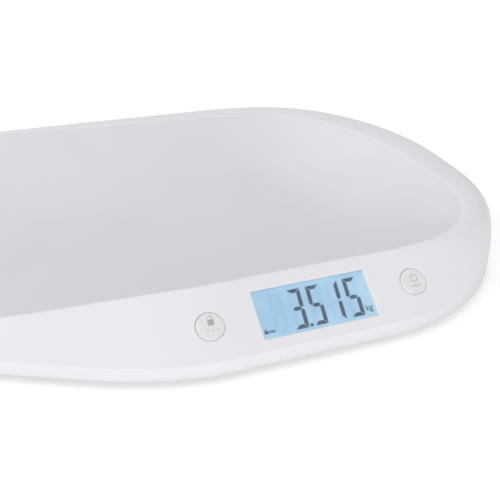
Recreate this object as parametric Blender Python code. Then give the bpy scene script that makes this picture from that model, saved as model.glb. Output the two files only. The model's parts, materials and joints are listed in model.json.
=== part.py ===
# Digital baby weighing scale: a dished tray shell that carries the sloped control panel,
# a flat base, four load cell feet, a lit display, two round push buttons and a battery bay.
# Metres, +Z up, front towards -Y. The origin is on the ground under the middle of the scale.

import math

import bmesh
import bpy
import numpy as np
from mathutils import Matrix, Vector
from mathutils.bvhtree import BVHTree

# Overall plan
LENGTH = 0.566
DEPTH = 0.308

# Its shape, with X values as shares of LENGTH and Y values as shares of DEPTH
lobe_share = 0.2373              # how far the front right lobe stands before the narrow front
lobe_left_share = 0.1073         # X where the straight front of the lobe ends
sweep_share = 0.3903             # X length of the S-shaped sweep from the lobe to the narrow front
front_corner_shares = (0.2183, 0.414)
back_corner_shares = (0.2731, 0.508)
left_corner_shares = (0.1943, 0.25)
LOBE = lobe_share * DEPTH
LOBE_LEFT = lobe_left_share * LENGTH
SWEEP = sweep_share * LENGTH
FRONT_CORNER_X = front_corner_shares[0] * LENGTH
FRONT_CORNER_Y = front_corner_shares[1] * DEPTH
BACK_CORNER_X = back_corner_shares[0] * LENGTH
BACK_CORNER_Y = back_corner_shares[1] * DEPTH
LEFT_CORNER_X = left_corner_shares[0] * LENGTH
LEFT_CORNER_Y = left_corner_shares[1] * DEPTH

# Heights above the shell's bottom edge, and the shell's wall
FOOT_STAND = 0.004           # ground to the shell's bottom edge
SKIRT = 0.009                # upright band round the foot of the shell
PANEL_TOP = 0.0354           # crease between the control panel and the tray
PANEL_RUN = 0.0377           # plan width of the sloped control panel
TRAY_FLOOR = 0.014
SHELL_WALL = 0.0022
PANEL_ROLL = 0.0012          # rounding where the panel meets the tray
RIM_ROLL = 0.0035            # rounding of the rim elsewhere

# Display, buttons and board, in the panel's own plane
display_share = 0.2032       # X of the display's centre, of LENGTH
button_spread_share = 0.1131     # display centre to each button's centre, of LENGTH
DISPLAY_X = display_share * LENGTH
BUTTON_SPREAD = button_spread_share * LENGTH
WINDOW_WIDTH = 0.0715
WINDOW_HEIGHT = 0.0296
WINDOW_CORNER = 0.0007
WINDOW_LIP = 0.0007          # shell left in front of the lens
BUTTON_RADIUS = 0.00825
BUTTON_GROOVE = 0.00035
BUTTON_TRAVEL = 0.0005
CAP_FLANGE = 0.0013          # how far a cap's flange reaches under the panel
BOARD_END = 0.011            # board past each button's centre
BOARD_LENGTH = 2 * (BUTTON_SPREAD + BOARD_END)
BOARD_DEPTH = 0.0093         # panel face to the board's top

# Base, feet and battery bay
COVER_GAP = 0.0006           # base edge to the skirt's inside
COVER_SINK = 0.0008          # base face above the skirt's bottom edge
COVER_WALL = 0.002
RIB_HEIGHT = 0.003
RIB_WIDTH = 0.0015
FOOT_RADIUS = 0.017
FRONT_FOOT = 0.0755          # front edge to the middle of the foot behind the panel
PAD_RADIUS = 0.0135
CELL_SIDE = 0.034
AAA_RADIUS = 0.0051
AAA_LENGTH = 0.0433
BATTERY_COUNT = 4
SCREW_RADIUS = 0.0013
FIT = 0.0003                 # gap between pieces that touch
PLAY = 0.0004                # gap round pieces that lift or slide
OVERRUN = 0.002              # how far a cutter passes a face

STATIONS = 76                # points round the outline
SHARE_DENSE = 720            # samples used to smooth the rim's sections

# Rows round the plan from the narrow front, counter-clockwise: share of the perimeter,
# run as a share of PANEL_RUN, top as a share of PANEL_TOP, and squareness of the section
# (1 is a straight slope, 3 a steep side under a flat shoulder).
rim_section_shares = [
    (0.000, 0.63, 0.705, 1.0),
    (0.036, 0.392, 0.571, 1.0),
    (0.078, 0.528, 0.654, 1.0),
    (0.109, 0.8, 0.853, 1.0),
    (0.134, 0.94, 0.96, 1.0),
    (0.147, 0.985, 0.99, 1.0),
    (0.168, 1.0, 1.0, 1.0),
    (0.244, 1.0, 1.0, 1.0),
    (0.275, 0.767, 1.044, 1.264),
    (0.297, 0.502, 1.078, 1.953),
    (0.319, 0.559, 1.148, 3.531),
    (0.372, 0.924, 1.133, 3.965),
    (0.435, 1.083, 1.218, 3.561),
    (0.490, 1.003, 1.25, 3.875),
    (0.543, 0.922, 1.204, 3.594),
    (0.630, 0.618, 1.248, 3.52),
    (0.683, 0.352, 1.256, 2.861),
    (0.735, 0.357, 1.253, 2.359),
    (0.903, 0.52, 1.262, 2.083),
]
outline_steps_share = 40     # points in each stretch of the outline before it is evened
SMOOTH_SHARE = 0.026         # width of the smoothing window, as a share of the perimeter
panel_centre_share = 0.476   # display and button line, from the panel's foot to its crease
tray_bowl_share = 2.2        # power of the tray's rise from its middle to its edge
tray_middle_share = 0.12     # where the last ring of the tray lies
spine_half_share = 0.52      # half length of the tray's spine, of half the scale
spine_left_share = 0.19      # Y of the spine at its left end, of half the depth
spine_right_share = 0.02     # Y of the spine at its right end, of half the depth

# Places in plan as shares of half the length and half the depth
front_foot_share = 0.725     # X of the foot behind the control panel
foot_place_shares = [(0.725, 0.58), (-0.725, 0.58), (-0.725, -0.18)]
screw_place_shares = [
    (0.88, -0.08), (0.45, 0.85), (0.0, 0.85), (-0.45, 0.85),
    (-0.89, 0.12), (-0.30, -0.46), (0.735, -0.79),
]
unit_button_shares = (0.035, -0.47)
bay_place_shares = (0.318, -0.5455)


# Start from an empty scene
for old in list(bpy.data.objects):
    bpy.data.objects.remove(old, do_unlink=True)


def finish(name, colour, roughness, metallic=0.0):
    material = bpy.data.materials.new(name)
    material.use_nodes = True
    shader = material.node_tree.nodes["Principled BSDF"]
    shader.inputs["Base Color"].default_value = (*colour, 1.0)
    shader.inputs["Roughness"].default_value = roughness
    shader.inputs["Metallic"].default_value = metallic
    material.diffuse_color = (*colour, 1.0)
    return material


white_abs = finish("white_abs", (0.83, 0.83, 0.86), 0.35)
base_abs = finish("base_abs", (0.80, 0.80, 0.82), 0.5)
button_abs = finish("button_abs", (0.86, 0.86, 0.88), 0.35)
clear_acrylic = finish("clear_acrylic", (0.75, 0.85, 0.90), 0.05)
display_glass = finish("display_glass", (0.42, 0.68, 0.83), 0.1)
light_guide = finish("light_guide", (0.60, 0.82, 0.95), 0.3)
frame_plastic = finish("frame_plastic", (0.75, 0.75, 0.75), 0.5)
board_green = finish("board_green", (0.05, 0.25, 0.10), 0.5)
chip_black = finish("chip_black", (0.02, 0.02, 0.02), 0.5)
switch_black = finish("switch_black", (0.03, 0.03, 0.03), 0.5)
cell_steel = finish("cell_steel", (0.55, 0.56, 0.57), 0.35, 1.0)
spring_steel = finish("spring_steel", (0.65, 0.65, 0.66), 0.3, 1.0)
foot_rubber = finish("foot_rubber", (0.25, 0.25, 0.26), 0.8)
battery_jacket = finish("battery_jacket", (0.20, 0.30, 0.45), 0.35)
wire_sleeve = finish("wire_sleeve", (0.55, 0.10, 0.08), 0.5)


# General modelling helpers
def show(name, bm, material, matrix=None):
    """Turn a bmesh into a named object; matrix is the object's own placement."""
    bmesh.ops.recalc_face_normals(bm, faces=bm.faces[:])
    mesh = bpy.data.meshes.new(name)
    bm.to_mesh(mesh)
    bm.free()
    mesh.shade_smooth()
    mesh.set_sharp_from_angle(angle=math.radians(35))
    mesh.materials.append(material)
    body = bpy.data.objects.new(name, mesh)
    if matrix is not None:
        body.matrix_world = matrix
    bpy.context.scene.collection.objects.link(body)
    return body


def guide(name, bm, matrix=None):
    """A shape that is only used by a Boolean."""
    body = show(name, bm, white_abs, matrix)
    body.hide_render = True
    body.display_type = "WIRE"
    return body


def combine(body, other, operation):
    step = body.modifiers.new(other.name, "BOOLEAN")
    step.operation = operation
    step.object = other
    step.solver = "EXACT"


def shift(x, y, z):
    return Matrix.Translation((x, y, z))


def drum(bm, radius, low, high, x=0.0, y=0.0, sides=24):
    """A round column from low to high at (x, y)."""
    bmesh.ops.create_cone(
        bm, cap_ends=True, segments=sides, radius1=radius, radius2=radius,
        depth=high - low, matrix=shift(x, y, (low + high) / 2))


def block(bm, width, depth, low, high, x=0.0, y=0.0):
    """A plain box, width along X and depth along Y, from low to high."""
    size = Matrix.Diagonal((width, depth, high - low, 1.0))
    bmesh.ops.create_cube(bm, size=1.0, matrix=shift(x, y, (low + high) / 2) @ size)


def slab(bm, outline, low, high):
    """Extrude a closed plan outline from low to high."""
    ring = [bm.verts.new((x, y, low)) for x, y in outline]
    face = bm.faces.new(ring)
    grown = bmesh.ops.extrude_face_region(bm, geom=[face])
    top = [item for item in grown["geom"] if isinstance(item, bmesh.types.BMVert)]
    bmesh.ops.translate(bm, verts=top, vec=(0, 0, high - low))


def rounded(width, height, radius, x=0.0, y=0.0, steps=4):
    """Outline of a rectangle with round corners."""
    points = []
    for turn, sx, sy in ((0, 1, 1), (1, -1, 1), (2, -1, -1), (3, 1, -1)):
        cx = x + sx * (width / 2 - radius)
        cy = y + sy * (height / 2 - radius)
        for step in range(steps + 1):
            angle = (turn + step / steps) * math.pi / 2
            points.append((cx + radius * math.cos(angle), cy + radius * math.sin(angle)))
    return points


def turned(bm, profile, sides=32, x=0.0, y=0.0):
    """Turn a profile of (radius, height) points, which starts and ends on the axis."""
    before = set(bm.verts)
    chain = [bm.verts.new((radius, 0.0, height)) for radius, height in profile]
    edges = [bm.edges.new(pair) for pair in zip(chain, chain[1:])]
    bmesh.ops.spin(
        bm, geom=chain + edges, cent=(0, 0, 0), axis=(0, 0, 1),
        angle=math.tau, steps=sides, use_merge=True)
    fresh = [vert for vert in bm.verts if vert not in before]
    bmesh.ops.remove_doubles(bm, verts=fresh, dist=FIT / 100)
    fresh = [vert for vert in bm.verts if vert not in before]
    bmesh.ops.translate(bm, verts=fresh, vec=(x, y, 0.0))


# Plan outline of the shell
def quarter(centre_x, centre_y, radius_x, radius_y, first_angle, steps):
    points = []
    for step in range(steps):
        angle = first_angle + step / steps * math.pi / 2
        x = centre_x + radius_x * math.cos(angle)
        points.append((x, centre_y + radius_y * math.sin(angle)))
    return points


def plan_outline():
    """Dense outline from the narrow front, counter-clockwise."""
    front = -DEPTH / 2
    narrow = front + LOBE
    right = LENGTH / 2
    back = DEPTH / 2
    fine = outline_steps_share
    points = []
    points.append((-right + LEFT_CORNER_X, narrow))
    for step in range(fine):
        share = step / fine
        swell = LOBE * (1 + math.cos(math.pi * share)) / 2
        points.append((LOBE_LEFT - SWEEP + SWEEP * share, front + swell))
    points.append((LOBE_LEFT, front))
    points += quarter(right - FRONT_CORNER_X, front + FRONT_CORNER_Y,
                      FRONT_CORNER_X, FRONT_CORNER_Y, -math.pi / 2, fine)
    points += quarter(right - BACK_CORNER_X, back - BACK_CORNER_Y,
                      BACK_CORNER_X, BACK_CORNER_Y, 0.0, fine)
    points += quarter(-right + BACK_CORNER_X, back - BACK_CORNER_Y,
                      BACK_CORNER_X, BACK_CORNER_Y, math.pi / 2, fine)
    points += quarter(-right + LEFT_CORNER_X, narrow + LEFT_CORNER_Y,
                      LEFT_CORNER_X, LEFT_CORNER_Y, math.pi, fine)
    return np.array(points)


def even_points(points, count):
    """Resample a closed outline into points an equal distance apart."""
    closed = np.vstack([points, points[:1]])
    steps = np.linalg.norm(np.diff(closed, axis=0), axis=1)
    length = np.concatenate([[0.0], np.cumsum(steps)])
    wanted = np.linspace(0.0, length[-1], count, endpoint=False)
    return np.stack([np.interp(wanted, length, closed[:, axis]) for axis in (0, 1)], axis=1)


def inward(points):
    """Unit normals of a counter-clockwise outline, towards its inside."""
    along = np.roll(points, -1, axis=0) - np.roll(points, 1, axis=0)
    along /= np.linalg.norm(along, axis=1)[:, None]
    return np.stack([-along[:, 1], along[:, 0]], axis=1)


def rim_sections(count):
    """Run, top height and squareness of the rim at each station."""
    table = np.array(rim_section_shares)
    share = np.concatenate([table[:, 0], [1.0]])
    values = np.vstack([table[:, 1:], table[:1, 1:]])
    dense = np.arange(SHARE_DENSE) / SHARE_DENSE
    curve = np.stack([np.interp(dense, share, values[:, column]) for column in range(3)], axis=1)
    half = int(SMOOTH_SHARE * SHARE_DENSE / 2)
    for _ in range(2):
        shifted = [np.roll(curve, offset, axis=0) for offset in range(-half, half + 1)]
        curve = np.mean(shifted, axis=0)
    station = np.arange(count) * SHARE_DENSE / count
    wrapped = np.vstack([curve, curve[:1]])
    steps = np.arange(SHARE_DENSE + 1)
    picked = [np.interp(station, steps, wrapped[:, column]) for column in range(3)]
    return picked[0] * PANEL_RUN, picked[1] * PANEL_TOP, picked[2]


def spine_point(x):
    """Nearest point of the tray's middle line, which drifts with the narrow front."""
    half = spine_half_share * LENGTH / 2
    held = min(max(x, -half), half)
    blend = (held + half) / (2 * half)
    blend = blend * blend * (3 - 2 * blend)
    share = spine_left_share + (spine_right_share - spine_left_share) * blend
    return np.array([held, share * DEPTH / 2])


def section_points(place, normal, run, top, square, flank_steps=4, roll_steps=2, tray_steps=3):
    """Points of the shell's outer face at one station, from its foot to the tray's middle."""
    points = [(*place, 0.0)]
    crest_plan = place + normal * run
    crest = np.array([*crest_plan, top])
    flatness = min(max(square - 1.0, 0.0), 1.0)
    roll = PANEL_ROLL + (RIM_ROLL - PANEL_ROLL) * flatness
    last_angle = math.acos((roll / run) ** (square / 2))
    for step in range(flank_steps + 1):
        angle = last_angle * step / flank_steps
        distance = run * (1 - math.cos(angle) ** (2 / square))
        height = SKIRT + (top - SKIRT) * math.sin(angle) ** (2 / square)
        points.append((*(place + normal * distance), height))
    spine = spine_point(crest_plan[0])
    reach = np.linalg.norm(crest_plan - spine)
    before = np.array(points[-1])

    def tray_point(share):
        plan = spine + (crest_plan - spine) * share
        height = TRAY_FLOOR + (top - TRAY_FLOOR) * share ** tray_bowl_share
        return np.array([*plan, height])

    first_share = 1 - roll / reach
    after = tray_point(first_share)
    for step in range(1, roll_steps + 1):
        blend = step / (roll_steps + 1)
        back = 1 - blend
        points.append(tuple(back ** 2 * before + 2 * blend * back * crest + blend ** 2 * after))
    for step in range(tray_steps + 1):
        share = first_share + (tray_middle_share - first_share) * step / tray_steps
        points.append(tuple(tray_point(share)))
    return [(x, y, height + FOOT_STAND) for x, y, height in points]


def shell_surface():
    """Outer face of the shell as an open sheet, with the tray's middle closed."""
    outline = even_points(plan_outline(), STATIONS)
    normals = inward(outline)
    runs, tops, squares = rim_sections(STATIONS)
    bm = bmesh.new()
    columns = []
    for station in zip(outline, normals, runs, tops, squares):
        columns.append([bm.verts.new(point) for point in section_points(*station)])
    for column, following in zip(columns, columns[1:] + columns[:1]):
        for level in range(len(column) - 1):
            bm.faces.new((column[level], following[level], following[level + 1], column[level + 1]))
    bm.faces.new([column[-1] for column in columns])
    bmesh.ops.recalc_face_normals(bm, faces=bm.faces[:])
    bm.normal_update()
    if bm.faces[-1].normal.z < 0:
        bmesh.ops.reverse_faces(bm, faces=bm.faces[:])
    bmesh.ops.triangulate(bm, faces=[bm.faces[-1]])
    return bm, outline, normals


surface, outline, normals = shell_surface()
surface_tree = BVHTree.FromBMesh(surface)
HIGH = PANEL_TOP + PANEL_TOP + FOOT_STAND


def surface_at(x, y):
    """Point and outward normal of the shell's outer face above (x, y)."""
    place, normal, _, _ = surface_tree.ray_cast(Vector((x, y, HIGH)), Vector((0, 0, -1)))
    return place, normal


def underside_at(x, y, radius):
    """Lowest underside of the shell over a round patch."""
    lowest = HIGH
    for turn in range(8):
        angle = turn * math.tau / 8
        place, normal = surface_at(x + radius * math.cos(angle), y + radius * math.sin(angle))
        lowest = min(lowest, place.z - SHELL_WALL / normal.z)
    return lowest


def panel_frame(x, out=None):
    """Placement on the panel's centre line: X along the front, Z out of the panel."""
    y = -DEPTH / 2 + panel_centre_share * PANEL_RUN
    place, _ = surface_at(x, y)
    if out is None:
        turns = [turn * math.tau / 8 for turn in range(8)]
        ring = [surface_at(x + BUTTON_RADIUS * math.cos(turn), y + BUTTON_RADIUS * math.sin(turn))[0]
                for turn in turns]
        place = sum(ring, Vector()) / len(ring)
        out = Vector()
        for first, second in zip(ring, ring[1:] + ring[:1]):
            out += (first - place).cross(second - place)
        out.normalize()
    across = Vector((0, 1, 0)).cross(out).normalized()
    up = out.cross(across).normalized()
    axes = Matrix((across, up, out)).transposed().to_4x4()
    return Matrix.Translation(place) @ axes


slope = math.atan2(PANEL_TOP - SKIRT, PANEL_RUN)
display_frame = panel_frame(DISPLAY_X, Vector((0, -math.sin(slope), math.cos(slope))))
hold_frame = panel_frame(DISPLAY_X - BUTTON_SPREAD)
tare_frame = panel_frame(DISPLAY_X + BUTTON_SPREAD)

# Heights of the base
COVER_LOW = FOOT_STAND + COVER_SINK
COVER_TOP = COVER_LOW + COVER_WALL
half_length = LENGTH / 2
half_depth = DEPTH / 2
screw_places = [(sx * half_length, sy * half_depth) for sx, sy in screw_place_shares]
foot_places = [(front_foot_share * half_length, -half_depth + FRONT_FOOT)]
foot_places += [(sx * half_length, sy * half_depth) for sx, sy in foot_place_shares]

# Housing screws and their bosses
BOSS_RADIUS = 0.0036
BOSS_FOOT = COVER_TOP + FIT
SCREW_HEAD = 0.0026
SCREW_BITE = 0.009           # thread inside a boss
HEAD_POCKET = 0.0030

# Display stack, in the display's frame: depths below the panel's face
LENS_TOP = WINDOW_LIP + FIT
LENS_WALL = 0.0010
LENS_MARGIN = 0.0027
GLASS_TOP = LENS_TOP + LENS_WALL + FIT
GLASS_MARGIN = 0.0011        # glass past each edge of the window
GLASS_WIDTH = WINDOW_WIDTH + 2 * GLASS_MARGIN
GLASS_HEIGHT = WINDOW_HEIGHT + 2 * GLASS_MARGIN
GLASS_WALL = 0.0026
FRAME_WALL_X = 0.0029
FRAME_WALL_Y = 0.0023

# Board bosses, in the display's frame
BOARD_BOSS_GAP = 0.0035      # display frame to a boss
BOARD_BOSS_LOW = -0.0080
BOARD_BOSS_HIGH = 0.0140
BOARD_BOSS_RADIUS = 0.0024
BOARD_SCREW_RADIUS = 0.0009
BOARD_SCREW_HEAD = 0.0018
BOARD_HEAD_HEIGHT = 0.0013
BOARD_SCREW_BITE = 0.004
BOARD_WALL = 0.0016
BOARD_BOSS_X = GLASS_WIDTH / 2 + FIT + FRAME_WALL_X + BOARD_BOSS_GAP + BOARD_BOSS_RADIUS
board_screw_places = [(-BOARD_BOSS_X, BOARD_BOSS_HIGH), (BOARD_BOSS_X, BOARD_BOSS_LOW)]


def post_top(x, y):
    """Height in the display's frame, inside the shell's wall, for a board post at (x, y)."""
    out = display_frame.to_3x3() @ Vector((0, 0, 1))
    lowest = HIGH
    for turn in range(8):
        angle = turn * math.tau / 8
        start = display_frame @ Vector((x + BOARD_BOSS_RADIUS * math.cos(angle),
                                        y + BOARD_BOSS_RADIUS * math.sin(angle), HIGH))
        place, _, _, _ = surface_tree.ray_cast(start, -out)
        lowest = min(lowest, (place - display_frame.translation).dot(out))
    return lowest - SHELL_WALL / 2


def build_top_shell():
    sheet = surface.copy()
    mesh = bpy.data.meshes.new("top_shell")
    sheet.to_mesh(mesh)
    sheet.free()
    mesh.shade_smooth()
    mesh.set_sharp_from_angle(angle=math.radians(28))
    mesh.materials.append(white_abs)
    shell = bpy.data.objects.new("top_shell", mesh)
    bpy.context.scene.collection.objects.link(shell)
    wall = shell.modifiers.new("wall", "SOLIDIFY")
    wall.thickness = SHELL_WALL
    wall.offset = -1.0
    wall.use_even_offset = True

    bosses = bmesh.new()
    for x, y in screw_places:
        top = underside_at(x, y, BOSS_RADIUS) + SHELL_WALL / 2
        drum(bosses, BOSS_RADIUS, BOSS_FOOT, top, x, y, sides=10)
    combine(shell, guide("housing_bosses", bosses), "UNION")

    posts = bmesh.new()
    for x in (-BOARD_BOSS_X, BOARD_BOSS_X):
        for y in (BOARD_BOSS_LOW, BOARD_BOSS_HIGH):
            drum(posts, BOARD_BOSS_RADIUS, FIT - BOARD_DEPTH, post_top(x, y), x, y, sides=8)
    combine(shell, guide("board_bosses", posts, display_frame), "UNION")

    pilots = bmesh.new()
    for x, y in screw_places:
        drum(pilots, SCREW_RADIUS + FIT, BOSS_FOOT - OVERRUN, BOSS_FOOT + SCREW_BITE + FIT,
             x, y, sides=8)
    combine(shell, guide("housing_pilots", pilots), "DIFFERENCE")

    openings = bmesh.new()
    slab(openings, rounded(WINDOW_WIDTH, WINDOW_HEIGHT, WINDOW_CORNER, steps=2),
         -SHELL_WALL - OVERRUN / 2, OVERRUN)
    for x, y in board_screw_places:
        drum(openings, BOARD_SCREW_RADIUS + FIT / 2, -BOARD_DEPTH - OVERRUN,
             FIT - BOARD_DEPTH + BOARD_SCREW_BITE + FIT, x, y, sides=8)
    combine(shell, guide("panel_openings", openings, display_frame), "DIFFERENCE")
    pocket = bmesh.new()
    margin = 2 * (LENS_MARGIN + FIT)
    slab(pocket, rounded(WINDOW_WIDTH + margin, WINDOW_HEIGHT + margin, WINDOW_CORNER, steps=1),
         -SHELL_WALL - OVERRUN / 2, -WINDOW_LIP)
    combine(shell, guide("lens_pocket", pocket, display_frame), "DIFFERENCE")

    chamfer = BUTTON_GROOVE
    for name, frame in (("hold_hole", hold_frame), ("tare_hole", tare_frame)):
        hole = bmesh.new()
        wide = BUTTON_RADIUS + BUTTON_GROOVE
        seat = BUTTON_RADIUS + CAP_FLANGE + PLAY
        seat_face = FIT / 2 - SHELL_WALL
        turned(hole, [(0, seat_face - OVERRUN), (seat, seat_face - OVERRUN), (seat, seat_face),
                      (wide, seat_face), (wide, -chamfer), (wide + chamfer + OVERRUN, OVERRUN),
                      (0, OVERRUN)], sides=24)
        combine(shell, guide(name, hole, frame), "DIFFERENCE")


def scaled_outline(inset):
    return [tuple(point + normal * inset) for point, normal in zip(outline, normals)]


# Foot assembly heights, from the ground up
PAD_HEIGHT = 0.0020
FOOT_LOW = PAD_HEIGHT + FIT
FOOT_TOP = COVER_TOP - PLAY
WELL_GAP = 0.0015
WELL_RADIUS = FOOT_RADIUS + WELL_GAP
FOOT_POST = 0.0055
LEDGE = 0.0011
BRACKET_LOW = COVER_TOP + FIT
CELL_LOW = BRACKET_LOW + LEDGE + FIT
CELL_WALL = 0.0020
BRACKET_RIM = 0.0025
BRACKET_PROUD = 0.0010       # bracket rim above the load cell
BRACKET_TOP = CELL_LOW + CELL_WALL + BRACKET_PROUD
BRACKET_SIDE = CELL_SIDE + 2 * PLAY + 2 * BRACKET_RIM
BRACKET_HOLE = 0.0125
EAR_X = 0.0265
EAR_RADIUS = 0.0042
EAR_WALL = 0.0018
EAR_POST = 0.0018            # height of the base's shoulders under the ears
STAKE_RADIUS = 0.0012        # melted pin that holds an ear down
STAKE_HEAD = 0.0022
STAKE_HEAD_HEIGHT = 0.0010

# Battery bay
BAY_X = bay_place_shares[0] * half_length
BAY_Y = bay_place_shares[1] * half_depth
NUB_RADIUS = 0.0019
NUB_LENGTH = 0.0012
BAY_CELL_GAP = 0.0006
BAY_SPRING_ROOM = 0.0075
BAY_INNER_X = AAA_LENGTH + NUB_LENGTH + BAY_SPRING_ROOM
BAY_INNER_Y = BATTERY_COUNT * 2 * AAA_RADIUS + (BATTERY_COUNT + 1) * BAY_CELL_GAP
BAY_WALL = 0.003
BAY_REACH = BAY_INNER_X / 2 + BAY_WALL + FIT
BAY_ROOF = 0.0015
DOOR_WALL = 0.0016
DOOR_MARGIN = 0.0015
DOOR_X = BAY_INNER_X + 2 * DOOR_MARGIN
DOOR_Y = BAY_INNER_Y + 2 * DOOR_MARGIN
BATTERY_LOW = COVER_LOW + DOOR_WALL + 2 * FIT
BATTERY_AXIS = BATTERY_LOW + AAA_RADIUS
BAY_CEILING = BATTERY_AXIS + AAA_RADIUS + FIT
HOOK_X = 0.018               # hooks from the bay's middle
HOOK_WIDTH = 0.007
HOOK_REACH = 0.0024
HOOK_WALL = 0.0014
TOE_HEIGHT = 0.0011
HOOK_LOW = COVER_TOP + FIT
HOOK_TOP = HOOK_LOW + TOE_HEIGHT
SLOT_HEIGHT = 0.0026
HINGE_Y = BAY_Y - DOOR_Y / 2
LATCH_WIDTH = 0.012

# Unit button, its switch and its small board
UNIT_X = unit_button_shares[0] * LENGTH / 2
UNIT_Y = unit_button_shares[1] * DEPTH / 2
UNIT_RADIUS = 0.0045
UNIT_FLANGE = 0.0058
UNIT_CAP_LOW = COVER_LOW + FIT
UNIT_FLANGE_LOW = COVER_TOP + FIT
UNIT_FLANGE_WALL = 0.0010
UNIT_CAP_TOP = UNIT_FLANGE_LOW + UNIT_FLANGE_WALL
SWITCH_SIDE = 0.006
SWITCH_HEIGHT = 0.0032
SWITCH_WELL = 0.0021
PLUNGER_RADIUS = 0.00165
PLUNGER_PROUD = BUTTON_TRAVEL + PLAY / 4
PLUNGER_DEPTH = 0.0008       # plunger inside the switch at rest
UNIT_SWITCH_LOW = UNIT_CAP_TOP + FIT + PLUNGER_PROUD
UNIT_BOARD_LOW = UNIT_SWITCH_LOW + SWITCH_HEIGHT + FIT
UNIT_BOARD_X = 0.022
UNIT_BOARD_Y = 0.013
UNIT_POST_X = 0.0085
UNIT_POST_RADIUS = 0.0016

# Ribs of the base, as shares of LENGTH, half the depth and half the length
rib_reach_share = 0.60
rib_row_shares = (0.12, 0.55)
rib_column_shares = (-0.45, 0.0, 0.45)


def build_bottom_cover():
    bm = bmesh.new()
    slab(bm, scaled_outline(SHELL_WALL + COVER_GAP), COVER_LOW, COVER_TOP)
    cover = show("bottom_cover", bm, base_abs)

    raised = bmesh.new()
    sunk = COVER_TOP - COVER_WALL / 2
    slab(raised, rounded(BAY_INNER_X + 2 * BAY_WALL, BAY_INNER_Y + 2 * BAY_WALL, BAY_WALL / 2,
                         BAY_X, BAY_Y, steps=2), sunk, BAY_CEILING + BAY_ROOF)
    post = EAR_RADIUS - PLAY
    post_top = COVER_TOP + EAR_POST
    stake_top = post_top + EAR_WALL + 2 * FIT
    for x, y in foot_places:
        for ear_x in (x - EAR_X, x + EAR_X):
            turned(raised, [(0, sunk), (post, sunk), (post, post_top), (STAKE_RADIUS, post_top),
                            (STAKE_RADIUS, stake_top), (STAKE_HEAD, stake_top),
                            (STAKE_RADIUS, stake_top + STAKE_HEAD_HEIGHT),
                            (0, stake_top + STAKE_HEAD_HEIGHT)], sides=6, x=ear_x, y=y)
    for side in (-1, 1):
        drum(raised, UNIT_POST_RADIUS, sunk, UNIT_BOARD_LOW - FIT,
             UNIT_X + side * UNIT_POST_X, UNIT_Y, sides=8)
    combine(cover, guide("cover_raised", raised), "UNION")

    ribs = bmesh.new()
    rib_low = sunk
    rib_top = COVER_TOP + RIB_HEIGHT
    rib_reach = rib_reach_share * LENGTH
    for share in rib_row_shares:
        block(ribs, rib_reach, RIB_WIDTH, rib_low, rib_top, 0.0, share * half_depth)
    combine(cover, guide("cover_ribs", ribs), "UNION")
    cross = bmesh.new()
    for share in rib_column_shares:
        first, last = (row * half_depth for row in rib_row_shares)
        block(cross, RIB_WIDTH, last - first, rib_low, rib_top, share * half_length, (first + last) / 2)
    combine(cover, guide("cover_cross_ribs", cross), "UNION")

    cuts = bmesh.new()
    for x, y in foot_places:
        drum(cuts, WELL_RADIUS, COVER_LOW - OVERRUN, COVER_TOP + OVERRUN / 2, x, y, sides=24)
    step = COVER_LOW + COVER_WALL / 2
    clear = SCREW_RADIUS + PLAY
    for x, y in screw_places:
        turned(cuts, [(0, COVER_LOW - OVERRUN), (HEAD_POCKET, COVER_LOW - OVERRUN),
                      (HEAD_POCKET, step), (clear, step), (clear, COVER_TOP + OVERRUN),
                      (0, COVER_TOP + OVERRUN)], sides=10, x=x, y=y)
    drum(cuts, UNIT_RADIUS + PLAY, COVER_LOW - OVERRUN, COVER_TOP + OVERRUN, UNIT_X, UNIT_Y,
         sides=18)
    combine(cover, guide("cover_cuts", cuts), "DIFFERENCE")

    hollow = bmesh.new()
    slab(hollow, rounded(DOOR_X + 2 * PLAY, DOOR_Y + 2 * PLAY, BAY_WALL / 2, BAY_X, BAY_Y, steps=2),
         COVER_LOW - OVERRUN, COVER_LOW + DOOR_WALL + FIT)
    combine(cover, guide("door_recess", hollow), "DIFFERENCE")
    room = bmesh.new()
    block(room, BAY_INNER_X, BAY_INNER_Y, COVER_LOW - OVERRUN, BAY_CEILING, BAY_X, BAY_Y)
    combine(cover, guide("bay_room", room), "DIFFERENCE")
    slots = bmesh.new()
    slot_depth = BAY_WALL + OVERRUN
    for side in (-1, 1):
        block(slots, HOOK_WIDTH + 2 * PLAY, slot_depth, COVER_TOP, COVER_TOP + SLOT_HEIGHT,
              BAY_X + side * HOOK_X, BAY_Y - BAY_INNER_Y / 2 - slot_depth / 2 + OVERRUN / 2)
    combine(cover, guide("hook_slots", slots), "DIFFERENCE")
    ledges = bmesh.new()
    ledge = DOOR_MARGIN + PLAY + OVERRUN
    for side in (-1, 1):
        block(ledges, HOOK_WIDTH + 2 * PLAY, ledge, COVER_LOW + FIT, COVER_TOP + OVERRUN,
              BAY_X + side * HOOK_X, HINGE_Y - PLAY + ledge / 2)
    block(ledges, LATCH_WIDTH + 2 * PLAY, ledge, COVER_LOW + FIT, COVER_TOP + SLOT_HEIGHT,
          BAY_X, HINGE_Y + DOOR_Y + PLAY - ledge / 2)
    combine(cover, guide("door_ledges", ledges), "DIFFERENCE")


def screw_mesh(name, head_radius, head_height, radius, length):
    """A screw that points up from its head's face at zero."""
    piece = bmesh.new()
    turned(piece, [(0, 0), (head_radius, 0), (head_radius, head_height), (radius, head_height),
                   (radius, length - radius), (0, length)], sides=8)
    return show(name, piece, spring_steel)


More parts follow.
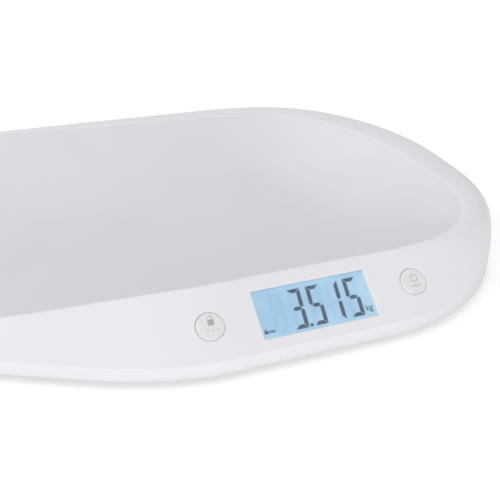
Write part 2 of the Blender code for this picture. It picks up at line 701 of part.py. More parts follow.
def build_screws():
    head_low = COVER_LOW + FIT
    first = screw_mesh("housing_screw_1", SCREW_HEAD, COVER_WALL / 2 - 2 * FIT, SCREW_RADIUS,
                       BOSS_FOOT + SCREW_BITE - head_low)
    for number, (x, y) in enumerate(screw_places, start=1):
        body = first
        if number > 1:
            body = bpy.data.objects.new(f"housing_screw_{number}", first.data)
            bpy.context.scene.collection.objects.link(body)
        body.location = (x, y, head_low)

    board_low = -BOARD_DEPTH - BOARD_WALL - FIT - BOARD_HEAD_HEIGHT
    first = screw_mesh("board_screw_1", BOARD_SCREW_HEAD, BOARD_HEAD_HEIGHT, BOARD_SCREW_RADIUS,
                       FIT + BOARD_HEAD_HEIGHT + BOARD_WALL + BOARD_SCREW_BITE)
    for number, (x, y) in enumerate(board_screw_places, start=1):
        body = first
        if number > 1:
            body = bpy.data.objects.new(f"board_screw_{number}", first.data)
            bpy.context.scene.collection.objects.link(body)
        body.matrix_world = display_frame @ shift(x, y, board_low)


def build_display():
    lens = bmesh.new()
    slab(lens, rounded(WINDOW_WIDTH + 2 * LENS_MARGIN, WINDOW_HEIGHT + 2 * LENS_MARGIN,
                       WINDOW_CORNER, steps=2), -LENS_TOP - LENS_WALL, -LENS_TOP)
    show("window_lens", lens, clear_acrylic, display_frame)

    glass = bmesh.new()
    face = rounded(GLASS_WIDTH, GLASS_HEIGHT, WINDOW_CORNER, steps=2)
    slab(glass, face, -GLASS_TOP - GLASS_WALL, -GLASS_TOP)
    show("lcd_glass", glass, display_glass, display_frame)

    light_foot = BOARD_DEPTH - FIT
    light = bmesh.new()
    slab(light, face, -light_foot, -GLASS_TOP - GLASS_WALL - FIT)
    show("backlight_panel", light, light_guide, display_frame)

    rim = bmesh.new()
    rim_top = -SHELL_WALL - FIT
    inner_x = GLASS_WIDTH + 2 * FIT
    inner_y = GLASS_HEIGHT + 2 * FIT
    slab(rim, rounded(inner_x + 2 * FRAME_WALL_X, inner_y + 2 * FRAME_WALL_Y, WINDOW_CORNER, steps=2),
         -light_foot, rim_top)
    frame_body = show("lcd_frame", rim, frame_plastic, display_frame)
    inside = bmesh.new()
    slab(inside, rounded(inner_x, inner_y, WINDOW_CORNER, steps=2),
         -light_foot - OVERRUN, rim_top + OVERRUN)
    combine(frame_body, guide("frame_inside", inside, display_frame), "DIFFERENCE")


BOARD_LOW_EDGE = 0.012
BOARD_HIGH_EDGE = 0.020
CHIP_X = 0.020
CHIP_WALL = 0.0012
BUZZER_RADIUS = 0.006
BUZZER_X = GLASS_WIDTH / 2 - BUZZER_RADIUS
BUZZER_Y = 0.004
BUZZER_HEIGHT = 0.0045


def build_board():
    middle = (BOARD_HIGH_EDGE - BOARD_LOW_EDGE) / 2
    board = bmesh.new()
    slab(board, rounded(BOARD_LENGTH, BOARD_HIGH_EDGE + BOARD_LOW_EDGE, WINDOW_CORNER,
                        0.0, middle, steps=2), -BOARD_DEPTH - BOARD_WALL, -BOARD_DEPTH)
    body = show("main_board", board, board_green, display_frame)
    holes = bmesh.new()
    for x, y in board_screw_places:
        drum(holes, BOARD_SCREW_RADIUS + FIT, -BOARD_DEPTH - BOARD_WALL - OVERRUN,
             -BOARD_DEPTH + OVERRUN, x, y, sides=8)
    combine(body, guide("board_holes", holes, display_frame), "DIFFERENCE")

    chip = bmesh.new()
    chip_top = -BOARD_DEPTH - BOARD_WALL - FIT
    block(chip, CHIP_X, CHIP_X / 2, chip_top - CHIP_WALL, chip_top, 0.0, middle)
    show("controller_chip", chip, chip_black, display_frame)

    sounder = bmesh.new()
    sounder_end = chip_top - BUZZER_HEIGHT
    turned(sounder, [(0, chip_top), (BUZZER_RADIUS, chip_top), (BUZZER_RADIUS, sounder_end),
                     (CHIP_WALL, sounder_end), (CHIP_WALL, sounder_end + BUZZER_HEIGHT / 2),
                     (0, sounder_end + BUZZER_HEIGHT / 2)], sides=14, x=BUZZER_X, y=BUZZER_Y)
    show("buzzer", sounder, chip_black, display_frame)


# Button caps: a shallow dome, a skirt that slides in the hole, a flange and a stem
CAP_CROWN = 0.0005
CAP_FLANGE_WALL = 0.0010
CAP_STEM = 0.0022
cap_dome_shares = [(0.0, 1.0), (0.5, 0.9), (0.85, 0.5)]


def build_switch(name, frame, foot, way):
    """Tact switch body with a well, and its plunger; foot is its board face, way its opening side."""
    lip = foot + way * SWITCH_HEIGHT
    body = bmesh.new()
    block(body, SWITCH_SIDE, SWITCH_SIDE, min(foot, lip), max(foot, lip))
    switch = show(name + "_switch_body", body, switch_black, frame)
    well = bmesh.new()
    well_foot = lip - way * SWITCH_WELL
    past = lip + way * OVERRUN
    drum(well, PLUNGER_RADIUS + FIT, min(well_foot, past), max(well_foot, past), sides=12)
    combine(switch, guide(name + "_switch_well", well, frame), "DIFFERENCE")
    pin = bmesh.new()
    low = lip - way * PLUNGER_DEPTH
    high = lip + way * PLUNGER_PROUD
    drum(pin, PLUNGER_RADIUS, min(low, high), max(low, high), sides=12)
    show(name + "_switch_plunger", pin, switch_black, frame)


def build_panel_button(name, frame):
    """A cap in the panel, over a switch that stands on the main board."""
    out = frame.to_3x3() @ Vector((0, 0, 1))
    start = frame.translation
    board_out = display_frame.to_3x3() @ Vector((0, 0, 1))
    board_point = display_frame @ Vector((0, 0, -BOARD_DEPTH))
    reach = (start - board_point).dot(board_out) / out.dot(board_out)
    switch_foot = start - out * reach
    switch_frame = Matrix.Translation(switch_foot) @ display_frame.to_3x3().to_4x4()
    build_switch(name, switch_frame, FIT, 1)

    stem_end = reach - FIT - SWITCH_HEIGHT - PLUNGER_PROUD - FIT
    face = SHELL_WALL + FIT
    flange = BUTTON_RADIUS + CAP_FLANGE
    cap = bmesh.new()
    edge_drop = CAP_CROWN / 2
    dome = [(BUTTON_RADIUS * out_share, CAP_CROWN * up_share)
            for out_share, up_share in cap_dome_shares]
    turned(cap, dome + [
        (BUTTON_RADIUS - edge_drop, 0.0), (BUTTON_RADIUS, -edge_drop), (BUTTON_RADIUS, -face),
        (flange, -face), (flange, -face - CAP_FLANGE_WALL), (CAP_STEM, -face - CAP_FLANGE_WALL),
        (CAP_STEM, -stem_end), (0, -stem_end)], sides=24)
    show(name + "_button_cap", cap, button_abs, frame)
    print(name, "joint axis", [round(-value, 6) for value in out],
          "place", [round(value, 6) for value in start])


def build_unit_button():
    cap = bmesh.new()
    turned(cap, [
        (0, UNIT_CAP_LOW), (UNIT_RADIUS, UNIT_CAP_LOW), (UNIT_RADIUS, UNIT_FLANGE_LOW),
        (UNIT_FLANGE, UNIT_FLANGE_LOW), (UNIT_FLANGE, UNIT_CAP_TOP), (0, UNIT_CAP_TOP)], sides=18)
    bmesh.ops.translate(cap, verts=cap.verts[:], vec=(0, 0, -UNIT_CAP_LOW))
    show("unit_button_cap", cap, button_abs, shift(UNIT_X, UNIT_Y, UNIT_CAP_LOW))
    build_switch("unit", shift(UNIT_X, UNIT_Y, 0), UNIT_SWITCH_LOW + SWITCH_HEIGHT, -1)
    board = bmesh.new()
    slab(board, rounded(UNIT_BOARD_X, UNIT_BOARD_Y, WINDOW_CORNER, UNIT_X, UNIT_Y, steps=2),
         UNIT_BOARD_LOW, UNIT_BOARD_LOW + BOARD_WALL)
    show("unit_board", board, board_green)


CELL_TONGUE = 0.014          # middle tongue that the foot pushes
CELL_SLOT = 0.0018
CELL_ROOT = 0.0045           # steel left behind the cross slot
WIRE_NOTCH = 0.0054          # gap in the bracket's rim for the wire


def build_foot(number, x, y):
    pad = bmesh.new()
    turned(pad, [(0, 0), (PAD_RADIUS - PAD_HEIGHT / 4, 0), (PAD_RADIUS, PAD_HEIGHT / 4),
                 (PAD_RADIUS, PAD_HEIGHT), (0, PAD_HEIGHT)], sides=18, x=x, y=y)
    show(f"foot_pad_{number}", pad, foot_rubber)

    foot = bmesh.new()
    lip = FOOT_LOW - PAD_HEIGHT / 2
    turned(foot, [(0, FOOT_LOW), (PAD_RADIUS + FIT, FOOT_LOW), (PAD_RADIUS + FIT, lip),
                  (FOOT_RADIUS - PAD_HEIGHT / 2, lip), (FOOT_RADIUS, FOOT_LOW),
                  (FOOT_RADIUS, FOOT_TOP), (FOOT_POST, FOOT_TOP), (FOOT_POST, CELL_LOW - FIT),
                  (0, CELL_LOW - FIT)], sides=18, x=x, y=y)
    show(f"foot_{number}", foot, base_abs)

    cell = bmesh.new()
    block(cell, CELL_SIDE, CELL_SIDE, CELL_LOW, CELL_LOW + CELL_WALL, x, y)
    steel = show(f"load_cell_{number}", cell, cell_steel)
    slots = bmesh.new()
    slot_low = CELL_LOW - OVERRUN
    slot_high = CELL_LOW + CELL_WALL + OVERRUN
    for side in (-1, 1):
        block(slots, CELL_SLOT, CELL_SIDE - 4 * CELL_SLOT, slot_low, slot_high,
              x + side * CELL_TONGUE / 2, y)
    combine(steel, guide(f"cell_slots_{number}", slots), "DIFFERENCE")
    cross = bmesh.new()
    block(cross, CELL_TONGUE, CELL_SLOT, slot_low, slot_high, x, y + CELL_SIDE / 2 - CELL_ROOT)
    combine(steel, guide(f"cell_cross_{number}", cross), "DIFFERENCE")

    bracket = bmesh.new()
    slab(bracket, rounded(BRACKET_SIDE, BRACKET_SIDE, BRACKET_RIM, x, y, steps=2),
         BRACKET_LOW, BRACKET_TOP)
    holder = show(f"cell_bracket_{number}", bracket, frame_plastic)
    ears = bmesh.new()
    ear_low = COVER_TOP + EAR_POST + FIT
    slab(ears, rounded(2 * (EAR_X + EAR_RADIUS), 2 * EAR_RADIUS, EAR_RADIUS, x, y, steps=2),
         ear_low, ear_low + EAR_WALL)
    combine(holder, guide(f"bracket_ears_{number}", ears), "UNION")
    inside = bmesh.new()
    seat = CELL_SIDE + 2 * PLAY
    block(inside, seat, seat, CELL_LOW - FIT, BRACKET_TOP + OVERRUN, x, y)
    combine(holder, guide(f"bracket_seat_{number}", inside), "DIFFERENCE")
    holes = bmesh.new()
    drum(holes, BRACKET_HOLE, BRACKET_LOW - OVERRUN, CELL_LOW, x, y, sides=14)
    for ear_x in (x - EAR_X, x + EAR_X):
        drum(holes, STAKE_RADIUS + FIT, ear_low - OVERRUN, ear_low + EAR_WALL + OVERRUN,
             ear_x, y, sides=8)
    block(holes, WIRE_NOTCH, 2 * BRACKET_RIM + OVERRUN, CELL_LOW + FIT, BRACKET_TOP + OVERRUN,
          x, y - BRACKET_SIDE / 2)
    combine(holder, guide(f"bracket_holes_{number}", holes), "DIFFERENCE")


def build_battery_door():
    """Lid of the battery bay; it swings about its hooked front edge."""
    hinge = Matrix.Translation((BAY_X, HINGE_Y, COVER_LOW))
    bm = bmesh.new()
    slab(bm, rounded(DOOR_X, DOOR_Y, BAY_WALL / 2, 0.0, DOOR_Y / 2, steps=2), 0.0, DOOR_WALL)
    door = show("battery_door", bm, base_abs, hinge)
    hooks = bmesh.new()
    hook_end = HOOK_TOP - COVER_LOW
    for side in (-1, 1):
        block(hooks, HOOK_WIDTH, HOOK_WALL, DOOR_WALL / 2, hook_end, side * HOOK_X, HOOK_WALL / 2)
    combine(door, guide("door_hook_posts", hooks, hinge), "UNION")
    toes = bmesh.new()
    for side in (-1, 1):
        block(toes, HOOK_WIDTH, HOOK_REACH + HOOK_WALL / 2, HOOK_LOW - COVER_LOW, hook_end,
              side * HOOK_X, (HOOK_WALL / 2 - HOOK_REACH) / 2)
    combine(door, guide("door_hook_toes", toes, hinge), "UNION")
    tongue = bmesh.new()
    block(tongue, LATCH_WIDTH, HOOK_WALL, DOOR_WALL / 2, hook_end, 0.0, DOOR_Y - HOOK_WALL / 2)
    combine(door, guide("door_latch", tongue, hinge), "UNION")
    grip = bmesh.new()
    block(grip, LATCH_WIDTH, HOOK_REACH * 2, -OVERRUN, DOOR_WALL / 2, 0.0, DOOR_Y - HOOK_REACH * 2)
    combine(door, guide("door_grip", grip, hinge), "DIFFERENCE")
    print("battery door hinge", [round(value, 6) for value in hinge.translation])


def cell_row_places():
    pitch = 2 * AAA_RADIUS + BAY_CELL_GAP
    first = BAY_Y - pitch * (BATTERY_COUNT - 1) / 2
    return [(first + pitch * number, 1 if number % 2 else -1) for number in range(BATTERY_COUNT)]


PLATE_WALL = 0.0004
PLATE_WIDTH = 0.0080
PLATE_HEIGHT = 0.0085
WIRE_RADIUS = 0.00028
SPRING_WIDE = 0.0030
SPRING_NARROW = 0.0018
spring_turns_share = 3       # turns of a coil
coil_steps_share = 8         # steps in one turn
coil_apart_share = 5         # steps along the coil past which two places are on different turns
# Contacts as the side of the bay, then the first and last row that the plate spans
contact_row_shares = [(1, 0, 1), (1, 2, 3), (-1, 0, 0), (-1, 1, 2), (-1, 3, 3)]


def coil_points(start, end, y):
    """A tapering coil from the plate to the cell's flat end."""
    steps = int(spring_turns_share * coil_steps_share)
    points = []
    for step in range(steps + 1):
        share = step / steps
        radius = SPRING_WIDE + (SPRING_NARROW - SPRING_WIDE) * share
        angle = share * spring_turns_share * math.tau
        points.append((start + (end - start) * share, y + radius * math.cos(angle),
                       BATTERY_AXIS + radius * math.sin(angle)))
    return points


def coil_gap(points):
    """Least clear distance between one turn and the next."""
    places = np.array(points)
    apart = coil_apart_share
    gaps = [np.linalg.norm(places[first + apart:] - places[first], axis=1).min()
            for first in range(len(places) - apart)]
    return min(gaps) - 2 * WIRE_RADIUS


def tube(name, points, radius, material, resolution=1):
    """A round wire through the points, with its ends closed."""
    curve = bpy.data.curves.new(name, "CURVE")
    curve.dimensions = "3D"
    curve.bevel_depth = radius
    curve.bevel_resolution = resolution
    curve.use_fill_caps = True
    strand = curve.splines.new("POLY")
    strand.points.add(len(points) - 1)
    for slot, point in zip(strand.points, points):
        slot.co = (*point, 1.0)
    curve.materials.append(material)
    body = bpy.data.objects.new(name, curve)
    bpy.context.scene.collection.objects.link(body)
    return body


def meshed(body):
    """The tube as a closed mesh that a Boolean can take."""
    bm = bmesh.new()
    bm.from_mesh(bpy.data.meshes.new_from_object(body))
    bmesh.ops.remove_doubles(bm, verts=bm.verts[:], dist=FIT / 100)
    bpy.data.objects.remove(body, do_unlink=True)
    return bm


def build_batteries():
    contact_x = BAY_INNER_X / 2 - FIT - PLATE_WALL
    rows = cell_row_places()
    for number, (y, way) in enumerate(rows):
        # way points from the flat end to the nub
        tail = BAY_X + way * (contact_x - FIT - NUB_LENGTH - AAA_LENGTH)
        cell = bmesh.new()
        turned(cell, [(0, 0), (AAA_RADIUS, 0), (AAA_RADIUS, AAA_LENGTH), (NUB_RADIUS, AAA_LENGTH),
                      (NUB_RADIUS, AAA_LENGTH + NUB_LENGTH), (0, AAA_LENGTH + NUB_LENGTH)], sides=16)
        turn = Matrix.Rotation(way * math.pi / 2, 4, "Y")
        show(f"battery_{number + 1}", cell, battery_jacket, shift(tail, y, BATTERY_AXIS) @ turn)
    closest = BAY_INNER_X
    for number, (side, first, last) in enumerate(contact_row_shares, start=1):
        plate = bmesh.new()
        span = rows[last][0] - rows[first][0] + PLATE_WIDTH
        block(plate, PLATE_WALL, span, BATTERY_AXIS - PLATE_HEIGHT / 2,
              BATTERY_AXIS + PLATE_HEIGHT / 2, BAY_X + side * (contact_x + PLATE_WALL / 2),
              (rows[first][0] + rows[last][0]) / 2)
        contact = show(f"battery_contact_{number}", plate, spring_steel)
        for y, way in rows[first:last + 1]:
            if way == side:
                continue
            start = BAY_X + side * contact_x
            tail = BAY_X + way * (contact_x - FIT - NUB_LENGTH - AAA_LENGTH)
            points = coil_points(start, tail + side * (FIT + WIRE_RADIUS), y)
            closest = min(closest, coil_gap(points))
            coil = meshed(tube("coil", points, WIRE_RADIUS, spring_steel))
            combine(contact, guide(f"coil_{number}", coil), "UNION")
    print("least gap between spring turns, mm", round(closest * 1000, 2))


CELL_WIRE = 0.0007
LEAD_WIRE = 0.0009
WIRE_TAIL = 0.006            # straight end of a wire at the board
WIRE_STEP = 0.018
wire_floor = COVER_TOP + FIT + CELL_WIRE
wire_over_rib = wire_floor + RIB_HEIGHT
cell_wire_height = CELL_LOW + FIT + CELL_WIRE + FIT
curve_fine_share = 12        # samples between two points of a route


def smooth_route(route):
    """Points every WIRE_STEP along a smooth curve, with the route's first and last runs straight."""
    points = np.array(route[1:-1])
    padded = np.vstack([2 * points[0] - points[1], points, 2 * points[-1] - points[-2]])
    fine = []
    for k in range(1, len(padded) - 2):
        p0, p1, p2, p3 = padded[k - 1:k + 3]
        for share in np.linspace(0, 1, curve_fine_share, endpoint=False):
            a = 2 * p1
            b = (p2 - p0) * share
            c = (2 * p0 - 5 * p1 + 4 * p2 - p3) * share ** 2
            d = (3 * p1 - p0 - 3 * p2 + p3) * share ** 3
            place = (a + b + c + d) / 2
            place[2] = p1[2] + (p2[2] - p1[2]) * share * share * (3 - 2 * share)
            fine.append(place)
    fine.append(padded[-2])
    fine = np.array(fine)
    length = np.concatenate([[0.0], np.cumsum(np.linalg.norm(np.diff(fine, axis=0), axis=1))])
    count = max(3, int(length[-1] / WIRE_STEP))
    wanted = np.linspace(0, length[-1], count + 1)
    middle = [tuple(np.interp(place, length, fine[:, axis]) for axis in range(3)) for place in wanted]
    return [tuple(route[0])] + middle + [tuple(route[-1])]


def board_end(x, up_share):
    """The straight end of a wire at world X, square to the board's back."""
    y = BOARD_HIGH_EDGE * up_share
    back = -BOARD_DEPTH - BOARD_WALL - FIT
    across = x - DISPLAY_X
    return [tuple(display_frame @ Vector((across, y, depth))) for depth in (back - WIRE_TAIL, back)]


# Each cell's wire: places on the base as shares of half length and half depth, then its lane to
# the board, where it turns into it, and its end up the board's back
cell_wire_shares = [
    ([], 0.764, 0.0, 0.6),
    ([(0.71, 0.36), (0.62, 0.12), (0.56, -0.15)], 0.509, -0.42, 0.7),
    ([(-0.70, 0.36), (-0.665, 0.20), (-0.60, 0.05), (-0.35, -0.02), (-0.05, -0.06), (0.12, -0.22)],
     -0.49, -0.48, 0.7),
    ([(-0.71, -0.40), (-0.62, -0.36), (-0.40, -0.22), (-0.12, -0.24), (0.09, -0.32)],
     -0.75, -0.50, 0.4),
]
battery_lead_shares = (-0.29, 0.2)
unit_lead_shares = (-0.94, 0.0)
lane_rise_share = 0.35       # height of a lane's last point, from the base to a rib's top


def lane_place(lane_share):
    """World X of a lane, as a share of the way from the bay's side to the board's end there."""
    side = -1 if lane_share < 0 else 1
    near = BAY_X + side * BAY_REACH
    far = DISPLAY_X + side * BOARD_LENGTH / 2
    return near + abs(lane_share) * (far - near)


def build_wires():
    for number, (x, y) in enumerate(foot_places, start=1):
        way_shares, lane_share, turn_share, up_share = cell_wire_shares[number - 1]
        lane = lane_place(lane_share)
        end = board_end(lane, up_share)
        route = [(x, y - CELL_SIDE / 2 - FIT, cell_wire_height),
                 (x, y - BRACKET_SIDE / 2 - CELL_SLOT, cell_wire_height)]
        route += [(sx * half_length, sy * half_depth, wire_floor) for sx, sy in way_shares]
        if way_shares:
            route.append((lane, turn_share * half_depth, wire_floor))
        rise = wire_floor + (wire_over_rib - wire_floor) * lane_rise_share
        route.append((lane, end[0][1] + WIRE_TAIL, rise))
        tube(f"cell_wire_{number}", smooth_route(route + end), CELL_WIRE, wire_sleeve)

    bay_side = BAY_X - BAY_REACH
    lead_share, up_share = battery_lead_shares
    lane = lane_place(lead_share)
    route = [(bay_side, BAY_Y, BATTERY_AXIS), (bay_side - WIRE_TAIL / 2, BAY_Y, BATTERY_AXIS),
             (lane, BAY_Y - WIRE_TAIL, BATTERY_AXIS)]
    tube("battery_lead", smooth_route(route + board_end(lane, up_share)), LEAD_WIRE, wire_sleeve)

    edge = UNIT_X + UNIT_BOARD_X / 2 + FIT
    middle = UNIT_BOARD_LOW + BOARD_WALL / 2
    lead_share, up_share = unit_lead_shares
    route = [(edge, UNIT_Y, middle), (edge + WIRE_TAIL, UNIT_Y, middle)]
    tube("unit_lead", smooth_route(route + board_end(lane_place(lead_share), up_share)),
         CELL_WIRE, wire_sleeve)


build_top_shell()
build_bottom_cover()
build_display()
build_board()
build_panel_button("hold", hold_frame)
build_panel_button("tare", tare_frame)
build_unit_button()
for number, (x, y) in enumerate(foot_places, start=1):
    build_foot(number, x, y)
build_battery_door()
build_batteries()
build_wires()
build_screws()
surface.free()
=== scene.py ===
import json
import math

import bmesh
import bpy
import numpy as np
from mathutils import Matrix, Vector
from mathutils.bvhtree import BVHTree


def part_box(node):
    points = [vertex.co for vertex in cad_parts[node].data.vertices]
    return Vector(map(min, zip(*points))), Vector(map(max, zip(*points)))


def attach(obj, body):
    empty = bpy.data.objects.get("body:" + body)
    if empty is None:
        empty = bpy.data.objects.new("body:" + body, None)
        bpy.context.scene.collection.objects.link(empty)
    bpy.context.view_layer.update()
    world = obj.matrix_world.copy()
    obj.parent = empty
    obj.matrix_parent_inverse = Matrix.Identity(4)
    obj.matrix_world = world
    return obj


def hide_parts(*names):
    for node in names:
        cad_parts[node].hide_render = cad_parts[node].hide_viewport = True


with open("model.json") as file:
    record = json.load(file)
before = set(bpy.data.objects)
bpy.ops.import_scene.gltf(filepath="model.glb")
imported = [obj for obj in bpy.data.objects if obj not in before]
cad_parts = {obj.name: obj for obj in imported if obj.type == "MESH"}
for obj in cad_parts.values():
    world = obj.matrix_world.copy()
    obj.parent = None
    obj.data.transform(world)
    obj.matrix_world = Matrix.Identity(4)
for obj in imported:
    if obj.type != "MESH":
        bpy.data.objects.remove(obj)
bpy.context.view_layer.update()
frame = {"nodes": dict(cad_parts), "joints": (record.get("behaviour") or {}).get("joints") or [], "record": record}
print("frame loaded:", len(frame["nodes"]), "nodes")

mm = 0.001
nodes = frame["nodes"]
joints = {joint["name"]: joint for joint in frame["joints"]}
sharpDegrees = 30.0  # the shading stays sharp where faces turn more than this
weld = 0.0005 * mm  # points closer than this become one


def linear(hexCode):  # sRGB hex to the linear colour that shaders take
    values = [int(hexCode[k:k + 2], 16) / 255 for k in (1, 3, 5)]
    return tuple(v / 12.92 if v <= 0.04045 else ((v + 0.055) / 1.055) ** 2.4 for v in values) + (1.0,)


def addNode(tree, kind, inputs=None, links=None, settings=None):  # a colour may be given as hex
    node = tree.nodes.new("ShaderNode" + kind)
    for key, value in (settings or {}).items():
        setattr(node, key, value)
    for key, value in (inputs or {}).items():
        node.inputs[key].default_value = linear(value) if isinstance(value, str) else value
    for key, source in (links or {}).items():
        tree.links.new(source, node.inputs[key])
    return node


def newMaterial(name, colour, roughness, sockets=None):  # Principled, with constants on its own sockets
    material = bpy.data.materials.new(name)
    material.use_nodes = True
    material.diffuse_color = linear(colour)
    tree = material.node_tree
    shader = tree.nodes["Principled BSDF"]
    for key, value in {"Base Color": linear(colour), "Roughness": roughness, **(sockets or {})}.items():
        shader.inputs[key].default_value = value
    coords = addNode(tree, "TexCoord").outputs["Object"]
    return material, tree, shader, coords


def driftTone(tree, coords, first, second, sizeMm):  # two colours that run into each other over a real length
    cloud = addNode(tree, "TexNoise", {"Scale": 1 / (sizeMm * mm), "Detail": 1.0}, {"Vector": coords})
    drift = addNode(tree, "MapRange", {"From Min": 0.35, "From Max": 0.65}, {"Value": cloud.outputs["Fac"]})
    return addNode(tree, "Mix", {6: first, 7: second}, {0: drift.outputs["Result"]}, {"data_type": "RGBA"})


def giveGrain(tree, shader, grain, roughness, depth):  # the same pattern scatters the gloss and lifts the face
    gloss = addNode(tree, "MapRange", {"From Min": 0.3, "From Max": 0.7, "To Min": roughness[0],
                                       "To Max": roughness[1]}, {"Value": grain.outputs["Fac"]})
    relief = addNode(tree, "Bump", {"Distance": depth, "Strength": 1.0}, {"Height": grain.outputs["Fac"]})
    tree.links.new(gloss.outputs["Result"], shader.inputs["Roughness"])
    tree.links.new(relief.outputs["Normal"], shader.inputs["Normal"])
    return gloss


# Moulded plastic and rubber: two close tones that drift over the moulding as the melt flowed, and a
# fine grain from the blasted or spark-eroded tool that scatters the gloss.
def mouldedPlastic(name, light, dark, flowMm, grainMm, depthMm, roughness, ior=1.53, paintedTrayShade=None, trayMatt=0.0):
    material, tree, shader, coords = newMaterial(name, light, sum(roughness) / 2, {"IOR": ior})
    tone = driftTone(tree, coords, dark, light, flowMm)
    grain = addNode(tree, "TexNoise", {"Scale": 1 / (grainMm * mm), "Detail": 3.0}, {"Vector": coords})
    gloss = giveGrain(tree, shader, grain, roughness, depthMm * mm)
    if paintedTrayShade:  # the dished face is blasted coarser than the rim, so it is duller; it is also painted a little greyer, as painted shade of the hollow
        inTray = addNode(tree, "Attribute", settings={"attribute_name": "dish"})
        tone = addNode(tree, "Mix", {7: paintedTrayShade}, {0: inTray.outputs["Fac"], 6: tone.outputs[2]},
                       {"data_type": "RGBA", "blend_type": "MULTIPLY"})
        matt = addNode(tree, "Math", {1: trayMatt}, {0: inTray.outputs["Fac"], 2: gloss.outputs["Result"]},
                       {"operation": "MULTIPLY_ADD"})
        tree.links.new(matt.outputs[0], shader.inputs["Roughness"])
    tree.links.new(tone.outputs[2], shader.inputs["Base Color"])
    return material


# Cut acrylic sheet: clear and polished, with hardly any haze.
def clearAcrylic(name, hazeMm, roughness):
    material, tree, shader, coords = newMaterial(name, "#FFFFFF", sum(roughness) / 2,
                                                 {"IOR": 1.49, "Transmission Weight": 1.0})
    haze = addNode(tree, "TexNoise", {"Scale": 1 / (hazeMm * mm), "Detail": 2.0}, {"Vector": coords})
    gloss = addNode(tree, "MapRange", {"To Min": roughness[0], "To Max": roughness[1]},
                    {"Value": haze.outputs["Fac"]})
    tree.links.new(gloss.outputs["Result"], shader.inputs["Roughness"])
    return material


# Liquid crystal glass or film over a light guide: a pale blue glow that clouds a little, as the light of
# the lamps spreads unevenly.
def litGlass(name, body, blue, pale, glow, cloudMm=24):
    material, tree, shader, coords = newMaterial(name, body, 0.12, {"Emission Strength": glow})
    tone = driftTone(tree, coords, blue, pale, cloudMm)
    tree.links.new(tone.outputs[2], shader.inputs["Emission Color"])
    return material


# Rolled steel sheet and wire under bright nickel: fine lines along the strip that stretch the shine.
def nickelSteel(name, light, dark, lineMm, roughness):
    material, tree, shader, coords = newMaterial(name, light, sum(roughness) / 2, {"Metallic": 1.0})
    along = addNode(tree, "Mapping", {"Scale": (0.05, 1.0, 1.0)}, {"Vector": coords})
    lines = addNode(tree, "TexNoise", {"Scale": 1 / (lineMm * mm), "Detail": 3.0},
                    {"Vector": along.outputs["Vector"]})
    tone = addNode(tree, "Mix", {6: dark, 7: light}, {0: lines.outputs["Fac"]}, {"data_type": "RGBA"})
    tree.links.new(tone.outputs[2], shader.inputs["Base Color"])
    giveGrain(tree, shader, lines, roughness, 0.004 * mm)
    return material


# Glass-epoxy board under green solder mask: darker lines where the copper lies below it.
def circuitBoard(name, mask, track, trackMm, resinMm, roughness):
    material, tree, shader, coords = newMaterial(name, mask, 0.36)
    tracks = addNode(tree, "TexBrick", {"Scale": 1 / (trackMm * 4 * mm), "Mortar Size": 0.05, "Color1": mask,
                                        "Color2": mask, "Mortar": track}, {"Vector": coords}, {"offset": 0.5})
    tree.links.new(tracks.outputs["Color"], shader.inputs["Base Color"])
    resin = addNode(tree, "TexNoise", {"Scale": 1 / (resinMm * mm), "Detail": 2.0}, {"Vector": coords})
    gloss = addNode(tree, "MapRange", {"To Min": roughness[0], "To Max": roughness[1]},
                    {"Value": resin.outputs["Fac"]})
    tree.links.new(gloss.outputs["Result"], shader.inputs["Roughness"])
    return material


# Printed or switched-on ink: matt, one colour with a faint mottle.
def ink(name, light, dark, mottleMm=0.6):
    material, tree, shader, coords = newMaterial(name, light, 0.5)
    mottle = addNode(tree, "TexNoise", {"Scale": 1 / (mottleMm * mm), "Detail": 2.0}, {"Vector": coords})
    tone = addNode(tree, "Mix", {6: dark, 7: light}, {0: mottle.outputs["Fac"]}, {"data_type": "RGBA"})
    tree.links.new(tone.outputs[2], shader.inputs["Base Color"])
    return material


